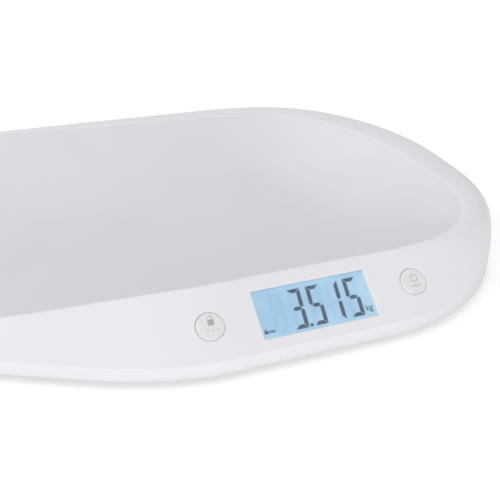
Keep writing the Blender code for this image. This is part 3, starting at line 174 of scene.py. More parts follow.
finishes = {
    # white ABS from a finely blasted tool: a soft satin sheen; the dished tray gets painted shade, a little greyer
    "white_abs": mouldedPlastic("abs_moulded_satin", "#ECECF1", "#EAE9EF", flowMm=60, grainMm=0.45,
                                depthMm=0.006, roughness=(0.38, 0.46), paintedTrayShade="#F5F5F5", trayMatt=0.16),
    # the same ABS from a spark-eroded tool: matt, with a coarser grain
    "base_abs": mouldedPlastic("abs_spark_matte", "#E6E6EA", "#E2E2E7", flowMm=45, grainMm=0.7,
                               depthMm=0.02, roughness=(0.50, 0.62)),
    # caps from a polished tool: glossier than the housing
    "button_abs": mouldedPlastic("abs_button_gloss", "#E8E8EA", "#E4E4E7", flowMm=6, grainMm=0.3,
                                 depthMm=0.003, roughness=(0.26, 0.34)),
    "clear_acrylic": clearAcrylic("acrylic_clear", hazeMm=8, roughness=(0.01, 0.05)),
    "display_glass": litGlass("lcd_glass_lit", "#3C5666", "#97C1E0", "#ABD2E9", glow=0.90),
    # cast acrylic with a white filler: lets light through evenly
    "light_guide": mouldedPlastic("acrylic_opal", "#DDF0FA", "#CFE6F4", flowMm=12, grainMm=4.0,
                                  depthMm=0.003, roughness=(0.25, 0.35), ior=1.49),
    # ABS without colour: a slightly yellow grey
    "frame_plastic": mouldedPlastic("abs_natural", "#D8D8D6", "#CDCDCB", flowMm=9, grainMm=0.8,
                                    depthMm=0.01, roughness=(0.45, 0.55)),
    "board_green": circuitBoard("circuit_board", "#1F6B3A", "#174F2C", trackMm=2.2, resinMm=0.8,
                                roughness=(0.28, 0.45)),
    # moulding compound of chips and nylon of switches: black and rather dull
    "chip_black": mouldedPlastic("epoxy_moulded_black", "#1D1D1F", "#151517", flowMm=4, grainMm=0.4,
                                 depthMm=0.01, roughness=(0.45, 0.55), ior=1.55),
    "switch_black": mouldedPlastic("nylon_moulded_black", "#242426", "#1A1A1C", flowMm=3, grainMm=0.5,
                                   depthMm=0.01, roughness=(0.40, 0.50)),
    "cell_steel": nickelSteel("steel_rolled_nickel_plated", "#B9BABC", "#A7A8AB", lineMm=0.6,
                              roughness=(0.26, 0.41)),
    "spring_steel": nickelSteel("spring_steel_nickel_plated", "#C9C9CB", "#B4B4B7", lineMm=0.4,
                                roughness=(0.19, 0.34)),
    # soft rubber: dull, and a little dusty where it was moulded
    "foot_rubber": mouldedPlastic("rubber_moulded_grey", "#5A5A5D", "#4C4C4F", flowMm=5, grainMm=0.5,
                                  depthMm=0.02, roughness=(0.72, 0.85), ior=1.52),
    # heat-shrunk film: smooth and glossy, drawn tight round the cell
    "battery_jacket": mouldedPlastic("shrink_film_blue", "#4E6A8A", "#46607E", flowMm=9, grainMm=2.0,
                                     depthMm=0.004, roughness=(0.22, 0.32), ior=1.5),
    # soft PVC drawn over the wires
    "wire_sleeve": mouldedPlastic("pvc_extruded_red", "#B23A32", "#A1332C", flowMm=4, grainMm=0.5,
                                  depthMm=0.006, roughness=(0.40, 0.50)),
}
inks = {
    # a glowing pale strip that is a painted highlight of the window's lit right side, and darker glowing strips
    # that are painted shadow of the lip along the top and left
    "paintedHighlight": litGlass("lcd_painted_highlight", "#8C9BA6", "#CFE5F3", "#D8ECF7", glow=0.8),
    "shade": litGlass("lcd_painted_shadow", "#6C7F8C", "#93B4CB", "#9BBBD0", glow=0.8),
    "digit": ink("lcd_segment_on", "#46607B", "#405872"),
    "ghost": litGlass("lcd_segment_off", "#3C5666", "#92BDDE", "#A5CDE6", glow=0.89),
    "padGrey": ink("pad_print_grey", "#B2B2B4", "#ABABAE"),
    "padPale": ink("pad_print_pale", "#C2C2C5", "#BBBBBE"),
}
for part in frame["record"]["subparts"]:
    carried = nodes[part["node"]].data.materials
    carried.clear()
    carried.append(finishes[part["material_slot"]])
print("finishes made:", len(finishes) + len(inks))


def newObject(name, data):
    item = bpy.data.objects.new(name, data)
    bpy.context.scene.collection.objects.link(item)
    return item


def baked(item):  # the mesh that its modifiers or its curve give
    bpy.context.view_layer.update()
    return bpy.data.meshes.new_from_object(item.evaluated_get(bpy.context.evaluated_depsgraph_get()))


def curveMesh(curve):
    holder = newObject("curve", curve)
    mesh = baked(holder)
    bpy.data.objects.remove(holder, do_unlink=True)
    return mesh


def finishPiece(bm, name, slotName=None, body=None, matrix=None, material=None):
    if matrix is not None:
        bmesh.ops.transform(bm, matrix=matrix, verts=bm.verts[:])
    bmesh.ops.recalc_face_normals(bm, faces=bm.faces[:])
    mesh = bpy.data.meshes.new(name)
    bm.to_mesh(mesh)
    bm.free()
    mesh.shade_smooth()
    mesh.set_sharp_from_angle(angle=math.radians(sharpDegrees))
    piece = newObject(name, mesh)
    if body:
        mesh.materials.append(material or finishes[slotName])
        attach(piece, body)
    return piece


def carve(piece, steps, sharp=sharpDegrees):  # exact Booleans in turn, each (bmesh, operation, matrix if any)
    cutters = []
    for bm, operation, *matrix in steps:
        cutters.append(finishPiece(bm, "cutter", None, None, *matrix))
        step = piece.modifiers.new("carve", "BOOLEAN")
        step.operation, step.object, step.solver = operation, cutters[-1], "EXACT"
    mesh = baked(piece)
    piece.modifiers.clear()
    piece.data = mesh
    mesh.set_sharp_from_angle(angle=math.radians(sharp))
    for cutter in cutters:
        bpy.data.objects.remove(cutter, do_unlink=True)


def quarter(steps):  # the angles of a quarter turn
    return [math.pi / 2 * step / steps for step in range(steps + 1)]


def spun(bm, profile, steps, x=0.0, y=0.0):  # turns (radius, height) points round a line along Z
    before = set(bm.verts)
    chain = [bm.verts.new((x + radius, y, height)) for radius, height in profile]
    edges = [bm.edges.new(pair) for pair in zip(chain, chain[1:])]
    bmesh.ops.spin(bm, geom=chain + edges, cent=(x, y, 0), axis=(0, 0, 1), angle=math.tau, steps=steps,
                   use_merge=True)
    bmesh.ops.remove_doubles(bm, verts=[v for v in bm.verts if v not in before], dist=weld)


def rod(bm, radius, low, high, steps, x, y):
    spun(bm, [(0, low), (radius, low), (radius, high), (0, high)], steps, x, y)


def roundEdge(radius, height, roll, way=1, steps=5):  # quarter round at (radius, height), from face to side
    return [(radius - roll * (1 - math.sin(turn)), height - way * roll * (1 - math.cos(turn)))
            for turn in quarter(steps)]


def column(bm, rings, closedFoot=True):  # extrudes the first ring of points through the others
    station = bm.verts.layers.int.get("station") or bm.verts.layers.int.new("station")
    foot = [bm.verts.new(point) for point in rings[0]]
    for number, vert in enumerate(foot):
        vert[station] = number
    face = first = bm.faces.new(foot)
    for level, ring in enumerate(rings[1:]):
        grown = bmesh.ops.extrude_face_region(bm, geom=[face] + (face.edges[:] if level else []))
        face = next(item for item in grown["geom"] if isinstance(item, bmesh.types.BMFace))
        for vert in face.verts:
            vert.co = ring[vert[station]]
    if not closedFoot:
        bmesh.ops.delete(bm, geom=[first], context="FACES_ONLY")


def dropStations(bm):
    bm.verts.layers.int.remove(bm.verts.layers.int["station"])


def roundedRing(width, depth, corner, height, x, y, steps=6):  # one ring of a round-cornered rectangle
    points = []
    for quarterTurn, sx, sy in ((0, 1, 1), (1, -1, 1), (2, -1, -1), (3, 1, -1)):
        for step in range(steps + 1):
            angle = (quarterTurn + step / steps) * math.pi / 2
            points.append((x + sx * (width / 2 - corner) + corner * math.cos(angle),
                           y + sy * (depth / 2 - corner) + corner * math.sin(angle), height))
    return points


def roundedBar(bm, width, depth, corner, levels, x=0.0, y=0.0):  # levels: (height, growth at every side)
    column(bm, [roundedRing(width + 2 * grow, depth + 2 * grow, max(corner + grow, 0.05 * mm), height, x, y)
                for height, grow in levels])


def block(bm, width, depth, low, high, x=0.0, y=0.0):
    size = Matrix.Diagonal((width, depth, high - low, 1.0))
    bmesh.ops.create_cube(bm, size=1.0, matrix=Matrix.Translation((x, y, (low + high) / 2)) @ size)


# One moulding with the dished tray, the rim and the sloped panel. Lengths of the plan are shares of
# its length or depth.
shellShape = {
    "length": 0.566, "depth": 0.308,
    "lobe": 0.2373, "lobeLeft": 0.1073, "sweep": 0.3903,  # front right lobe, and the S-shaped sweep beside it
    "frontCorner": (0.2183, 0.414), "backCorner": (0.2731, 0.508), "leftCorner": (0.1943, 0.25),
    "stand": 0.004, "skirt": 0.009, "panelTop": 0.0354, "panelRun": 0.0377, "trayFloor": 0.014,
    "wall": 0.0022, "panelRoll": 0.0012, "rimRoll": 0.0035, "footEdge": 0.0006,
    "bowl": 2.2, "trayMiddle": 0.05, "spineHalf": 0.52, "spineLeft": 0.19, "spineRight": 0.02,
    "stations": 432, "flankSteps": 14, "rollSteps": 6, "traySteps": 20, "smooth": 0.026, "cornerSteps": 40,
}
# share of the way round from the narrow front, run and top of the rim, squareness of its section
rimSections = [
    (0.000, 0.63, 0.705, 1.0), (0.036, 0.392, 0.571, 1.0), (0.078, 0.528, 0.654, 1.0),
    (0.109, 0.8, 0.853, 1.0), (0.134, 0.94, 0.96, 1.0), (0.147, 0.985, 0.99, 1.0),
    (0.168, 1.0, 1.0, 1.0), (0.244, 1.0, 1.0, 1.0), (0.275, 0.767, 1.044, 1.264),
    (0.297, 0.502, 1.078, 1.953), (0.319, 0.559, 1.148, 3.531), (0.372, 0.924, 1.133, 3.965),
    (0.435, 1.083, 1.218, 3.561), (0.490, 1.003, 1.25, 3.875), (0.543, 0.922, 1.204, 3.594),
    (0.630, 0.618, 1.248, 3.52), (0.683, 0.352, 1.256, 2.861), (0.735, 0.357, 1.253, 2.359),
    (0.903, 0.52, 1.262, 2.083),
]


def shellOutline(shape):  # even points round the plan, counter-clockwise from the narrow front
    length, depth, steps = shape["length"], shape["depth"], shape["cornerSteps"]
    right, back, front = length / 2, depth / 2, -depth / 2
    lobe, lobeLeft, sweep = shape["lobe"] * depth, shape["lobeLeft"] * length, shape["sweep"] * length
    corners = {key: (shape[key][0] * length, shape[key][1] * depth)
               for key in ("frontCorner", "backCorner", "leftCorner")}
    turn = np.linspace(0, math.pi / 2, steps, endpoint=False)
    share = np.linspace(0, 1, steps, endpoint=False)
    swept = front + lobe * (1 + np.cos(math.pi * share)) / 2
    parts = [np.array([[-right + corners["leftCorner"][0], front + lobe]]),
             np.stack([lobeLeft - sweep * (1 - share), swept], axis=1), np.array([[lobeLeft, front]])]
    for key, side, y, start in (
            ("frontCorner", 1, front + corners["frontCorner"][1], -math.pi / 2),
            ("backCorner", 1, back - corners["backCorner"][1], 0.0),
            ("backCorner", -1, back - corners["backCorner"][1], math.pi / 2),
            ("leftCorner", -1, front + lobe + corners["leftCorner"][1], math.pi)):
        rx, ry = corners[key]
        parts.append(np.stack([side * (right - rx) + rx * np.cos(start + turn),
                               y + ry * np.sin(start + turn)], axis=1))
    points = np.vstack(parts)
    closed = np.vstack([points, points[:1]])
    along = np.concatenate([[0.0], np.cumsum(np.linalg.norm(np.diff(closed, axis=0), axis=1))])
    wanted = np.linspace(0, along[-1], shape["stations"], endpoint=False)
    even = np.stack([np.interp(wanted, along, closed[:, axis]) for axis in (0, 1)], axis=1)
    for _ in range(3):  # rounds off the corners of the coarse outline
        even = (np.roll(even, 1, axis=0) + 2 * even + np.roll(even, -1, axis=0)) / 4
    run = np.roll(even, -1, axis=0) - np.roll(even, 1, axis=0)
    run /= np.linalg.norm(run, axis=1)[:, None]
    return even, np.stack([-run[:, 1], run[:, 0]], axis=1)


def rimCurves(shape):  # smoothed run, top and squareness at each station
    table = np.array(rimSections)
    dense = 720
    curve = np.stack([np.interp(np.arange(dense) / dense, np.append(table[:, 0], 1.0),
                                np.append(table[:, k], table[0, k])) for k in (1, 2, 3)], axis=1)
    half = int(shape["smooth"] * dense / 2)
    for _ in range(2):
        curve = np.mean([np.roll(curve, k, axis=0) for k in range(-half, half + 1)], axis=0)
    wanted = np.arange(shape["stations"]) * dense / shape["stations"]
    wrapped = np.vstack([curve, curve[:1]])
    run, top, square = (np.interp(wanted, np.arange(dense + 1), wrapped[:, k]) for k in range(3))
    return run * shape["panelRun"], top * shape["panelTop"], square


def shellSection(shape, spot, normal, run, top, square):  # outer face at one station, foot to tray middle
    edge, skirt, floor = shape["footEdge"], shape["skirt"], shape["trayFloor"]
    points = [(*(spot + normal * edge), 0.0), (*(spot + normal * edge * 0.3), edge * 0.3), (*spot, edge),
              (*spot, skirt * 0.5)]
    crestPlan = spot + normal * run
    roll = shape["panelRoll"] + (shape["rimRoll"] - shape["panelRoll"]) * min(max(square - 1, 0), 1)
    lastAngle = math.acos((roll / run) ** (square / 2))
    for step in range(shape["flankSteps"] + 1):
        angle = lastAngle * step / shape["flankSteps"]
        out = run * (1 - math.cos(angle) ** (2 / square))
        points.append((*(spot + normal * out), skirt + (top - skirt) * math.sin(angle) ** (2 / square)))
    half = shape["spineHalf"] * shape["length"] / 2
    held = min(max(crestPlan[0], -half), half)
    blend = (held + half) / (2 * half)
    blend = blend * blend * (3 - 2 * blend)
    spineY = shape["spineLeft"] + (shape["spineRight"] - shape["spineLeft"]) * blend
    spine = np.array([held, spineY * shape["depth"] / 2])
    reach = np.linalg.norm(crestPlan - spine)

    def trayPoint(share):
        height = floor + (top - floor) * share ** shape["bowl"]
        return np.array([*(spine + (crestPlan - spine) * share), height])

    before, crest, firstShare = np.array(points[-1]), np.array([*crestPlan, top]), 1 - roll / reach
    after = trayPoint(firstShare)
    for step in range(1, shape["rollSteps"] + 1):
        t = step / (shape["rollSteps"] + 1)
        points.append(tuple((1 - t) ** 2 * before + 2 * t * (1 - t) * crest + t * t * after))
    for step in range(shape["traySteps"] + 1):
        share = firstShare + (shape["trayMiddle"] - firstShare) * step / shape["traySteps"]
        points.append(tuple(trayPoint(share)))
    return [(x, y, z + shape["stand"]) for x, y, z in points]


panelShape = {
    "centre": 0.476, "displayX": 0.2032,  # shares of the panel's run and of the length
    "window": (0.0715, 0.0296), "windowCorner": 0.0007, "windowChamfer": 0.0006,
    "lensPocket": (0.0775, 0.0356), "lip": 0.0007,
    "hole": 0.00845, "holeRoll": 0.0007, "seat": 0.00995, "seatDepth": 0.00205, "seatReach": 0.0045,
}
displayX = panelShape["displayX"] * shellShape["length"]
panelRise = shellShape["panelTop"] - shellShape["skirt"]
displayFrame = (Matrix.Translation((
    displayX, -shellShape["depth"] / 2 + panelShape["centre"] * shellShape["panelRun"],
    shellShape["stand"] + shellShape["skirt"] + panelShape["centre"] * panelRise))
    @ Matrix.Rotation(math.atan2(panelRise, shellShape["panelRun"]), 4, "X"))

bossShape = {  # screw bosses, and behind the display the posts of the board
    "radius": 0.0036, "foot": 0.0071, "pilot": 0.0016, "pilotDepth": 0.0093, "sunkInWall": 1.6,
    "post": 0.0024, "postFoot": -0.009, "postTop": -0.0014, "postX": 0.04595, "postY": (-0.008, 0.014),
    "postPilot": 0.00105, "postPilotTop": -0.0047,
}


def middlesOf(name, count):  # the middle of each CAD node of a numbered row
    return [sum(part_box(f"{name}_{number}"), Vector()) / 2 for number in range(1, count + 1)]


screwSpots, footSpots = middlesOf("housing_screw", 7), middlesOf("foot", 4)
outline, inward = shellOutline(shellShape)
sections = [shellSection(shellShape, *row) for row in zip(outline, inward, *rimCurves(shellShape))]
shellRings = [[section[level] for section in sections] for level in range(len(sections[0]))]
shellSheet = bmesh.new()
column(shellSheet, shellRings, closedFoot=False)
# dish is 1 on the tray, where the white ABS is painted a little greyer as painted shade, and made duller
dish = shellSheet.verts.layers.float.new("dish")
station = shellSheet.verts.layers.int["station"]
skirtPoints = 4  # points of a section below its flank
crestLevel = skirtPoints + shellShape["flankSteps"] + 1 + shellShape["rollSteps"] // 2
for vert in shellSheet.verts:  # 1 inside the crest line, 0 outside it
    crest = Vector(sections[vert[station]][crestLevel])
    inner = (crest - vert.co).xy.dot(Vector(inward[vert[station]])) < 0
    vert[dish] = 1.0 if inner else 0.0
dropStations(shellSheet)
bmesh.ops.recalc_face_normals(shellSheet, faces=shellSheet.faces[:])
if max(shellSheet.faces, key=lambda face: face.calc_area()).normal.z < 0:
    bmesh.ops.reverse_faces(shellSheet, faces=shellSheet.faces[:])
shellTree = BVHTree.FromBMesh(shellSheet)


def onShell(point, way):  # where a ray that starts 100 mm before the point meets the shell's outer face
    return shellTree.ray_cast(Vector(point) - Vector(way) * 0.1, Vector(way))[0]


buttonPlaces = {}
for jointName in ("hold_button_press", "tare_button_press"):  # Z out of the panel, X along the front
    out = -Vector(joints[jointName]["axis"]).normalized()
    across = Vector((0, 1, 0)).cross(out).normalized()
    cap = nodes[jointName.replace("press", "cap")].data
    crown = max((v.co for v in cap.vertices), key=lambda co: co.dot(out))
    axes = Matrix((across, out.cross(across).normalized(), out)).transposed().to_4x4()
    buttonPlaces[jointName] = Matrix.Translation(onShell(crown, -out)) @ axes


def buildTopShell():
    mesh = bpy.data.meshes.new("topShell")
    shellSheet.to_mesh(mesh)
    mesh.shade_smooth()
    mesh.materials.append(finishes["white_abs"])
    shell = newObject("topShell", mesh)
    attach(shell, "housing")
    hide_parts("top_shell")
    wall = shell.modifiers.new("wall", "SOLIDIFY")
    wall.thickness, wall.offset, wall.use_even_offset = shellShape["wall"], -1.0, True

    boss = bossShape
    bosses, pilots, posts, holes, window, pocket = (bmesh.new() for _ in range(6))
    for spot in screwSpots:
        top = onShell((spot.x, spot.y, 0.03), (0, 0, -1)).z - shellShape["wall"] * boss["sunkInWall"]
        rod(bosses, boss["radius"], boss["foot"], top, 32, spot.x, spot.y)
        rod(pilots, boss["pilot"], boss["foot"] - mm, boss["foot"] + boss["pilotDepth"], 24, spot.x, spot.y)
    for x in (-boss["postX"], boss["postX"]):
        for y in boss["postY"]:
            rod(posts, boss["post"], boss["postFoot"], boss["postTop"], 24, x, y)
            rod(holes, boss["postPilot"], -15 * mm, boss["postPilotTop"], 16, x, y)

    panel, chamfer = panelShape, panelShape["windowChamfer"]
    roundedBar(window, *panel["window"], panel["windowCorner"], [(-5 * mm, 0)]
               + [(-chamfer + chamfer * math.sin(turn), chamfer * (1 - math.cos(turn))) for turn in quarter(5)]
               + [(1.5 * mm, chamfer + 1.2 * mm)])
    roundedBar(pocket, *panel["lensPocket"], panel["windowCorner"], [(-5 * mm, 0), (-panel["lip"], 0)])
    steps = [(bosses, "UNION"), (posts, "UNION", displayFrame), (pilots, "DIFFERENCE"),
             (holes, "DIFFERENCE", displayFrame), (pocket, "DIFFERENCE", displayFrame),
             (window, "DIFFERENCE", displayFrame)]
    wide, roll, seat = panel["hole"], panel["holeRoll"], panel["seat"]
    flare = [(wide + roll * (1 - math.cos(turn)), -roll + roll * math.sin(turn)) for turn in quarter(6)]
    for spot in buttonPlaces.values():
        hole = bmesh.new()
        spun(hole, [(0, -panel["seatReach"]), (seat, -panel["seatReach"]), (seat, -panel["seatDepth"]),
                    (wide, -panel["seatDepth"])] + flare + [(wide + roll + mm, mm), (0, mm)], 96)
        steps.append((hole, "DIFFERENCE", spot))
    carve(shell, steps, 32)


buildTopShell()
print("top shell done")

# Button caps: a shallow dome whose edge rolls down into the hole, a flange and a stem
capShape = {
    "radius": 0.0083, "aside": (0.00008, -0.00006),  # aside: the caps hang a hair off centre in their holes
    "crown": 0.0005, "domeDrop": 0.45, "roll": 0.0010, "flange": 0.00955, "flangeWall": 0.0010,
    "flangeTop": 0.0025, "stem": 0.0022,
}


def crownHeight(radius):
    share = radius / (capShape["radius"] - capShape["roll"])
    return capShape["crown"] * (1 - capShape["domeDrop"] * share ** 2)


def buildCap(jointName, name):
    node = jointName.replace("press", "cap")
    spot = buttonPlaces[jointName]
    stemEnd = min((spot.inverted() @ v.co).z for v in nodes[node].data.vertices)
    shape = capShape
    inner = shape["radius"] - shape["roll"]
    dome = [(inner * k / 10, crownHeight(inner * k / 10)) for k in range(10)]
    edge = roundEdge(shape["radius"], crownHeight(inner), shape["roll"], steps=8)
    face, back = -shape["flangeTop"], -shape["flangeTop"] - shape["flangeWall"]
    bm = bmesh.new()
    spun(bm, dome + edge + [(shape["radius"], face), (shape["flange"], face), (shape["flange"], back),
                            (shape["stem"], back), (shape["stem"], stemEnd), (0, stemEnd)], 96, *shape["aside"])
    cap = finishPiece(bm, name, "button_abs", jointName.replace("_press", ""), spot)
    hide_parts(node)


buildCap("hold_button_press", "holdCap")
buildCap("tare_button_press", "tareCap")


# Flat marks are made at Z zero, then given a hair of thickness and laid on the face that carries them
def disc(bm, x, y, radius, steps=20):
    bmesh.ops.create_circle(bm, cap_ends=True, segments=steps, radius=radius,
                            matrix=Matrix.Translation((x, y, 0)))


def bar(bm, x, y, width, height, corner=0.0):
    place = Matrix.Translation((x, y, 0)) @ Matrix.Diagonal((width, height, 1, 1))
    made = bmesh.ops.create_grid(bm, x_segments=1, y_segments=1, size=0.5, matrix=place)["verts"]
    if corner:
        bmesh.ops.bevel(bm, geom=made, offset=corner, segments=3, profile=0.5, affect="VERTICES", material=-1)
    return made


def arc(bm, x, y, radius, stroke, first, last, steps):  # part of a flat ring, angles in degrees
    turn = math.radians(first)
    start = [bm.verts.new((x + r * math.cos(turn), y + r * math.sin(turn), 0))
             for r in (radius - stroke / 2, radius + stroke / 2)]
    edge = bm.edges.new(start)
    bmesh.ops.spin(bm, geom=start + [edge], cent=(x, y, 0), axis=(0, 0, 1), angle=math.radians(last - first),
                   steps=steps, use_merge=False)


def layMarks(bm, name, material, slotName, body, matrix, height, thick):  # height may follow the radius
    for face in bm.faces:
        if face.normal.z < 0:
            face.normal_flip()
    grown = bmesh.ops.extrude_face_region(bm, geom=bm.faces[:])
    upper = {item for item in grown["geom"] if isinstance(item, bmesh.types.BMVert)}
    for vert in bm.verts:
        base = height(math.hypot(vert.co.x, vert.co.y)) if callable(height) else height
        vert.co.z = base + (thick if vert in upper else 0.0)
    finishPiece(bm, name, slotName, body, matrix, material=material)


capMarks = {
    "lockBody": (0.0009, 0.0019, 0.0035, 0.0035), "lockCorner": 0.0003,
    "shackle": (0.0009, 0.0038, 0.0012, 0.0005), "shackleLeg": 0.0008,
    "dots": ((-0.0020, -0.0026), (0.0009, -0.0026), (0.0038, -0.0026)), "dot": 0.00045,
    "ring": (0.0006, 0.0018, 0.0023, 0.00055), "ringGap": 28,
    "pole": (0.0006, 0.0036, 0.0006, 0.0026), "poleCorner": 0.0001,
    "zero": (0.0007, -0.0033, 0.00085, 0.0004), "arrow": 0.0016, "arrowGap": 0.0011, "arrowStroke": 0.0004,
    "arrowTip": ((0.0005, 0), (0.0013, 0.0007), (0.0013, -0.0007)),
    "above": 0.00001, "thick": 0.00003,
}


def layOnCap(bm, name, material, button):
    layMarks(bm, name, material, "button_abs", button, buttonPlaces[button + "_press"],
             lambda radius: crownHeight(radius) + capMarks["above"], capMarks["thick"])


def buildCapMarks():
    m = capMarks
    lock, pale, power = bmesh.new(), bmesh.new(), bmesh.new()
    bar(lock, *m["lockBody"], corner=m["lockCorner"])
    layOnCap(lock, "lockMark", inks["padGrey"], "hold_button")
    x, y, radius, stroke = m["shackle"]
    leg = m["shackleLeg"]
    arc(pale, x, y + leg, radius, stroke, 0, 180, 12)
    for side in (-1, 1):
        bar(pale, x + side * radius, y + leg / 2, stroke, leg)
    for spot in m["dots"]:
        disc(pale, *spot, m["dot"])
    layOnCap(pale, "holdDots", inks["padPale"], "hold_button")

    arc(power, *m["ring"], 90 + m["ringGap"], 450 - m["ringGap"], 36)
    bar(power, *m["pole"], corner=m["poleCorner"])
    for half in (0, 180):  # the zero between two arrows, upper then lower half
        arc(power, *m["zero"], half, half + 180, 10)
    bmesh.ops.remove_doubles(power, verts=power.verts[:], dist=0.002 * mm)
    x, y, radius, _ = m["zero"]
    for side in (-1, 1):
        bar(power, x + side * (radius + m["arrowGap"] + m["arrow"] / 2), y, m["arrow"], m["arrowStroke"])
        power.faces.new([power.verts.new((x + side * (radius + offset), y + rise, 0))
                         for offset, rise in m["arrowTip"]])
    bmesh.ops.recalc_face_normals(power, faces=power.faces[:])
    layOnCap(power, "powerMark", inks["padPale"], "tare_button")


buildCapMarks()
print("caps and their marks done")

# Marks of the display: plain seven-segment digits, the unit and a small lock sign, and glowing strips of painted
# highlight and painted shadow at the window's edges
digitShape = {
    "shown": "3515", "ghosts": ("abcdefg", "ef", "be", "adefg", "be"),  # ghosts: segments that are off
    "height": 0.0245, "width": 0.0083, "stroke": 0.0024, "gap": 0.00034, "slant": 0.055, "middle": -0.0003,
    "rightEdges": (-0.0188, -0.0069, 0.0051, 0.0169, 0.0288), "dot": (-0.0051, 0.00095),
    "tip": 0.0004, "mitre": 0.97,
    "unit": (0.0296, -0.0104, 0.0052), "unitBold": 0.00006, "unitNarrow": 0.94,
    "lock": (-0.0334, -0.0104, 0.0021, 0.0018), "lockCorner": 0.0001, "lockSpan": 0.32, "lockStroke": 0.0003,
    "lockLeg": 0.0004, "lockBars": (-0.0313, -0.0299, -0.0285), "lockBar": (0.0009, 0.0017),
    # glowing strips on the glass at the window's edges: painted highlight on the right, painted shadow at the top
    # and left
    "paintedHighlight": ((0.0361, 0, 0.0012, 0.0300),),
    "shade": ((0, 0.0152, 0.0734, 0.0006), (-0.0351, 0, 0.0004, 0.0316)),
    "above": 0.00005, "thick": 0.00004,
}
segmentsOf = {"1": "bc", "3": "abcdg", "5": "acdfg"}
glassTop = max((displayFrame.inverted() @ v.co).z for v in nodes["lcd_glass"].data.vertices)


def segmentBar(bm, x, y, length, upright, mitres):  # mitres: how far each corner is cut back
    width = digitShape["stroke"]
    made = bar(bm, x, y, *((width, length) if upright else (length, width)))
    corners = {(math.copysign(1, v.co.x - x), math.copysign(1, v.co.y - y)): v for v in made}
    for key, amount in mitres.items():
        bmesh.ops.bevel(bm, geom=[corners[key]], offset=amount, segments=1, profile=0.5, affect="VERTICES",
                        material=-1)


def digitBars(bm, lit, right):
    w, h, s, g, tip = (digitShape[key] for key in ("width", "height", "stroke", "gap", "tip"))
    x, y = right - w / 2, digitShape["middle"]
    full = s * digitShape["mitre"]
    half = full / 2
    bars = {"g": (x, y, w - s - 2 * g, False, {(-1, -1): half, (-1, 1): half, (1, -1): half, (1, 1): half})}
    for key, up in (("a", 1), ("d", -1)):
        bars[key] = (x, y + up * (h / 2 - s / 2), w - 2 * g, False,
                     {(-1, -up): full, (1, -up): full, (-1, up): tip, (1, up): tip})
    for key, side, up in (("b", 1, 1), ("f", -1, 1), ("c", 1, -1), ("e", -1, -1)):
        bars[key] = (x + side * (w / 2 - s / 2), y + up * (h / 4 + g / 4), h / 2 - g * 1.5, True,
                     {(-side, up): full, (-1, -up): half, (1, -up): half, (side, up): tip})
    for key in lit:
        segmentBar(bm, *bars[key])


def layDisplay(bm, name, material, lift=1.0, slanted=True):
    if slanted:
        for vert in bm.verts:
            vert.co.x += digitShape["slant"] * (vert.co.y - digitShape["middle"])
    layMarks(bm, name, material, "display_glass", "housing", displayFrame,
             glassTop + digitShape["above"] * lift, digitShape["thick"] * lift)


def buildDisplayMarks():
    d = digitShape
    digits, ghosts, sign = bmesh.new(), bmesh.new(), bmesh.new()
    for value, right in zip(d["shown"], d["rightEdges"][1:]):
        digitBars(digits, segmentsOf[value], right)
    dotX, half = d["dot"]
    bar(digits, dotX, d["middle"] - d["height"] / 2 + half, 2 * half, 2 * half)
    layDisplay(digits, "digitsLit", inks["digit"])
    for lit, right in zip(d["ghosts"], d["rightEdges"]):
        digitBars(ghosts, lit, right)
    layDisplay(ghosts, "digitsGhost", inks["ghost"], lift=0.5)

    x, y, size = d["unit"]
    letters = bpy.data.curves.new("unitSign", "FONT")
    letters.body, letters.size, letters.offset = "kg", size, d["unitBold"]
    sign.from_mesh(curveMesh(letters))
    bmesh.ops.remove_doubles(sign, verts=sign.verts[:], dist=0.001 * mm)
    bmesh.ops.scale(sign, verts=sign.verts[:], vec=(d["unitNarrow"], 1, 1))
    bmesh.ops.translate(sign, verts=sign.verts[:], vec=(x, y, 0))
    x, y, wide, tall = d["lock"]
    stroke, leg, radius = d["lockStroke"], d["lockLeg"], wide * d["lockSpan"]
    bar(sign, x, y, wide, tall, corner=d["lockCorner"])
    for side in (-1, 1):
        bar(sign, x + side * radius, y + tall / 2 + leg / 2, stroke, leg)
    arc(sign, x, y + tall / 2 + leg, radius, stroke, 0, 180, 10)
    for barX in d["lockBars"]:
        bar(sign, barX, y, *d["lockBar"])
    layDisplay(sign, "unitAndLock", inks["digit"], slanted=False)
    # the strips of painted highlight and painted shadow at the window's edges
    for key in ("paintedHighlight", "shade"):
        paintedStrips = bmesh.new()
        for strip in d[key]:
            bar(paintedStrips, *strip)
        layDisplay(paintedStrips, key + "Film", inks[key], lift=0.5, slanted=False)


buildDisplayMarks()
print("display marks done")

# The base: a plate with round foot wells, screw pockets, ribs, the battery bay, a slotted sound outlet
# and a plain recessed panel
coverShape = {
    "inset": 0.0028, "low": 0.0048, "top": 0.0068, "edge": 0.0006, "lead": 0.00025,
    "well": 0.0185, "wellLip": 0.0021, "wellProud": 0.0004, "wellEdge": 0.0004,
    "pocket": 0.0030, "pocketDepth": 0.0010, "pocketEdge": 0.0003, "clear": 0.0017,
    "unitHole": 0.0049, "unitDish": 0.0016, "unitDishDeep": 0.0009,
    "unitPosts": 0.0085, "unitPost": 0.0016, "unitPostTop": 0.01272,
    "ribHeight": 0.0030, "ribWidth": 0.0015, "ribReach": 0.60, "ribRows": (0.12, 0.55),
    "ribColumns": (-0.45, 0, 0.45),
    "panel": (-0.070, 0.016, 0.092, 0.046), "panelCorner": 0.003, "panelDepth": 0.0003,
    "soundSpot": (0.146, -0.1265), "soundSlot": (0.0009, 0.0075), "soundPitch": 0.0021, "soundCount": 6,
    "earX": 0.0265, "earPost": (0.0038, 0.0018), "stake": (0.0012, 0.0022, 0.0024, 0.0010),
}
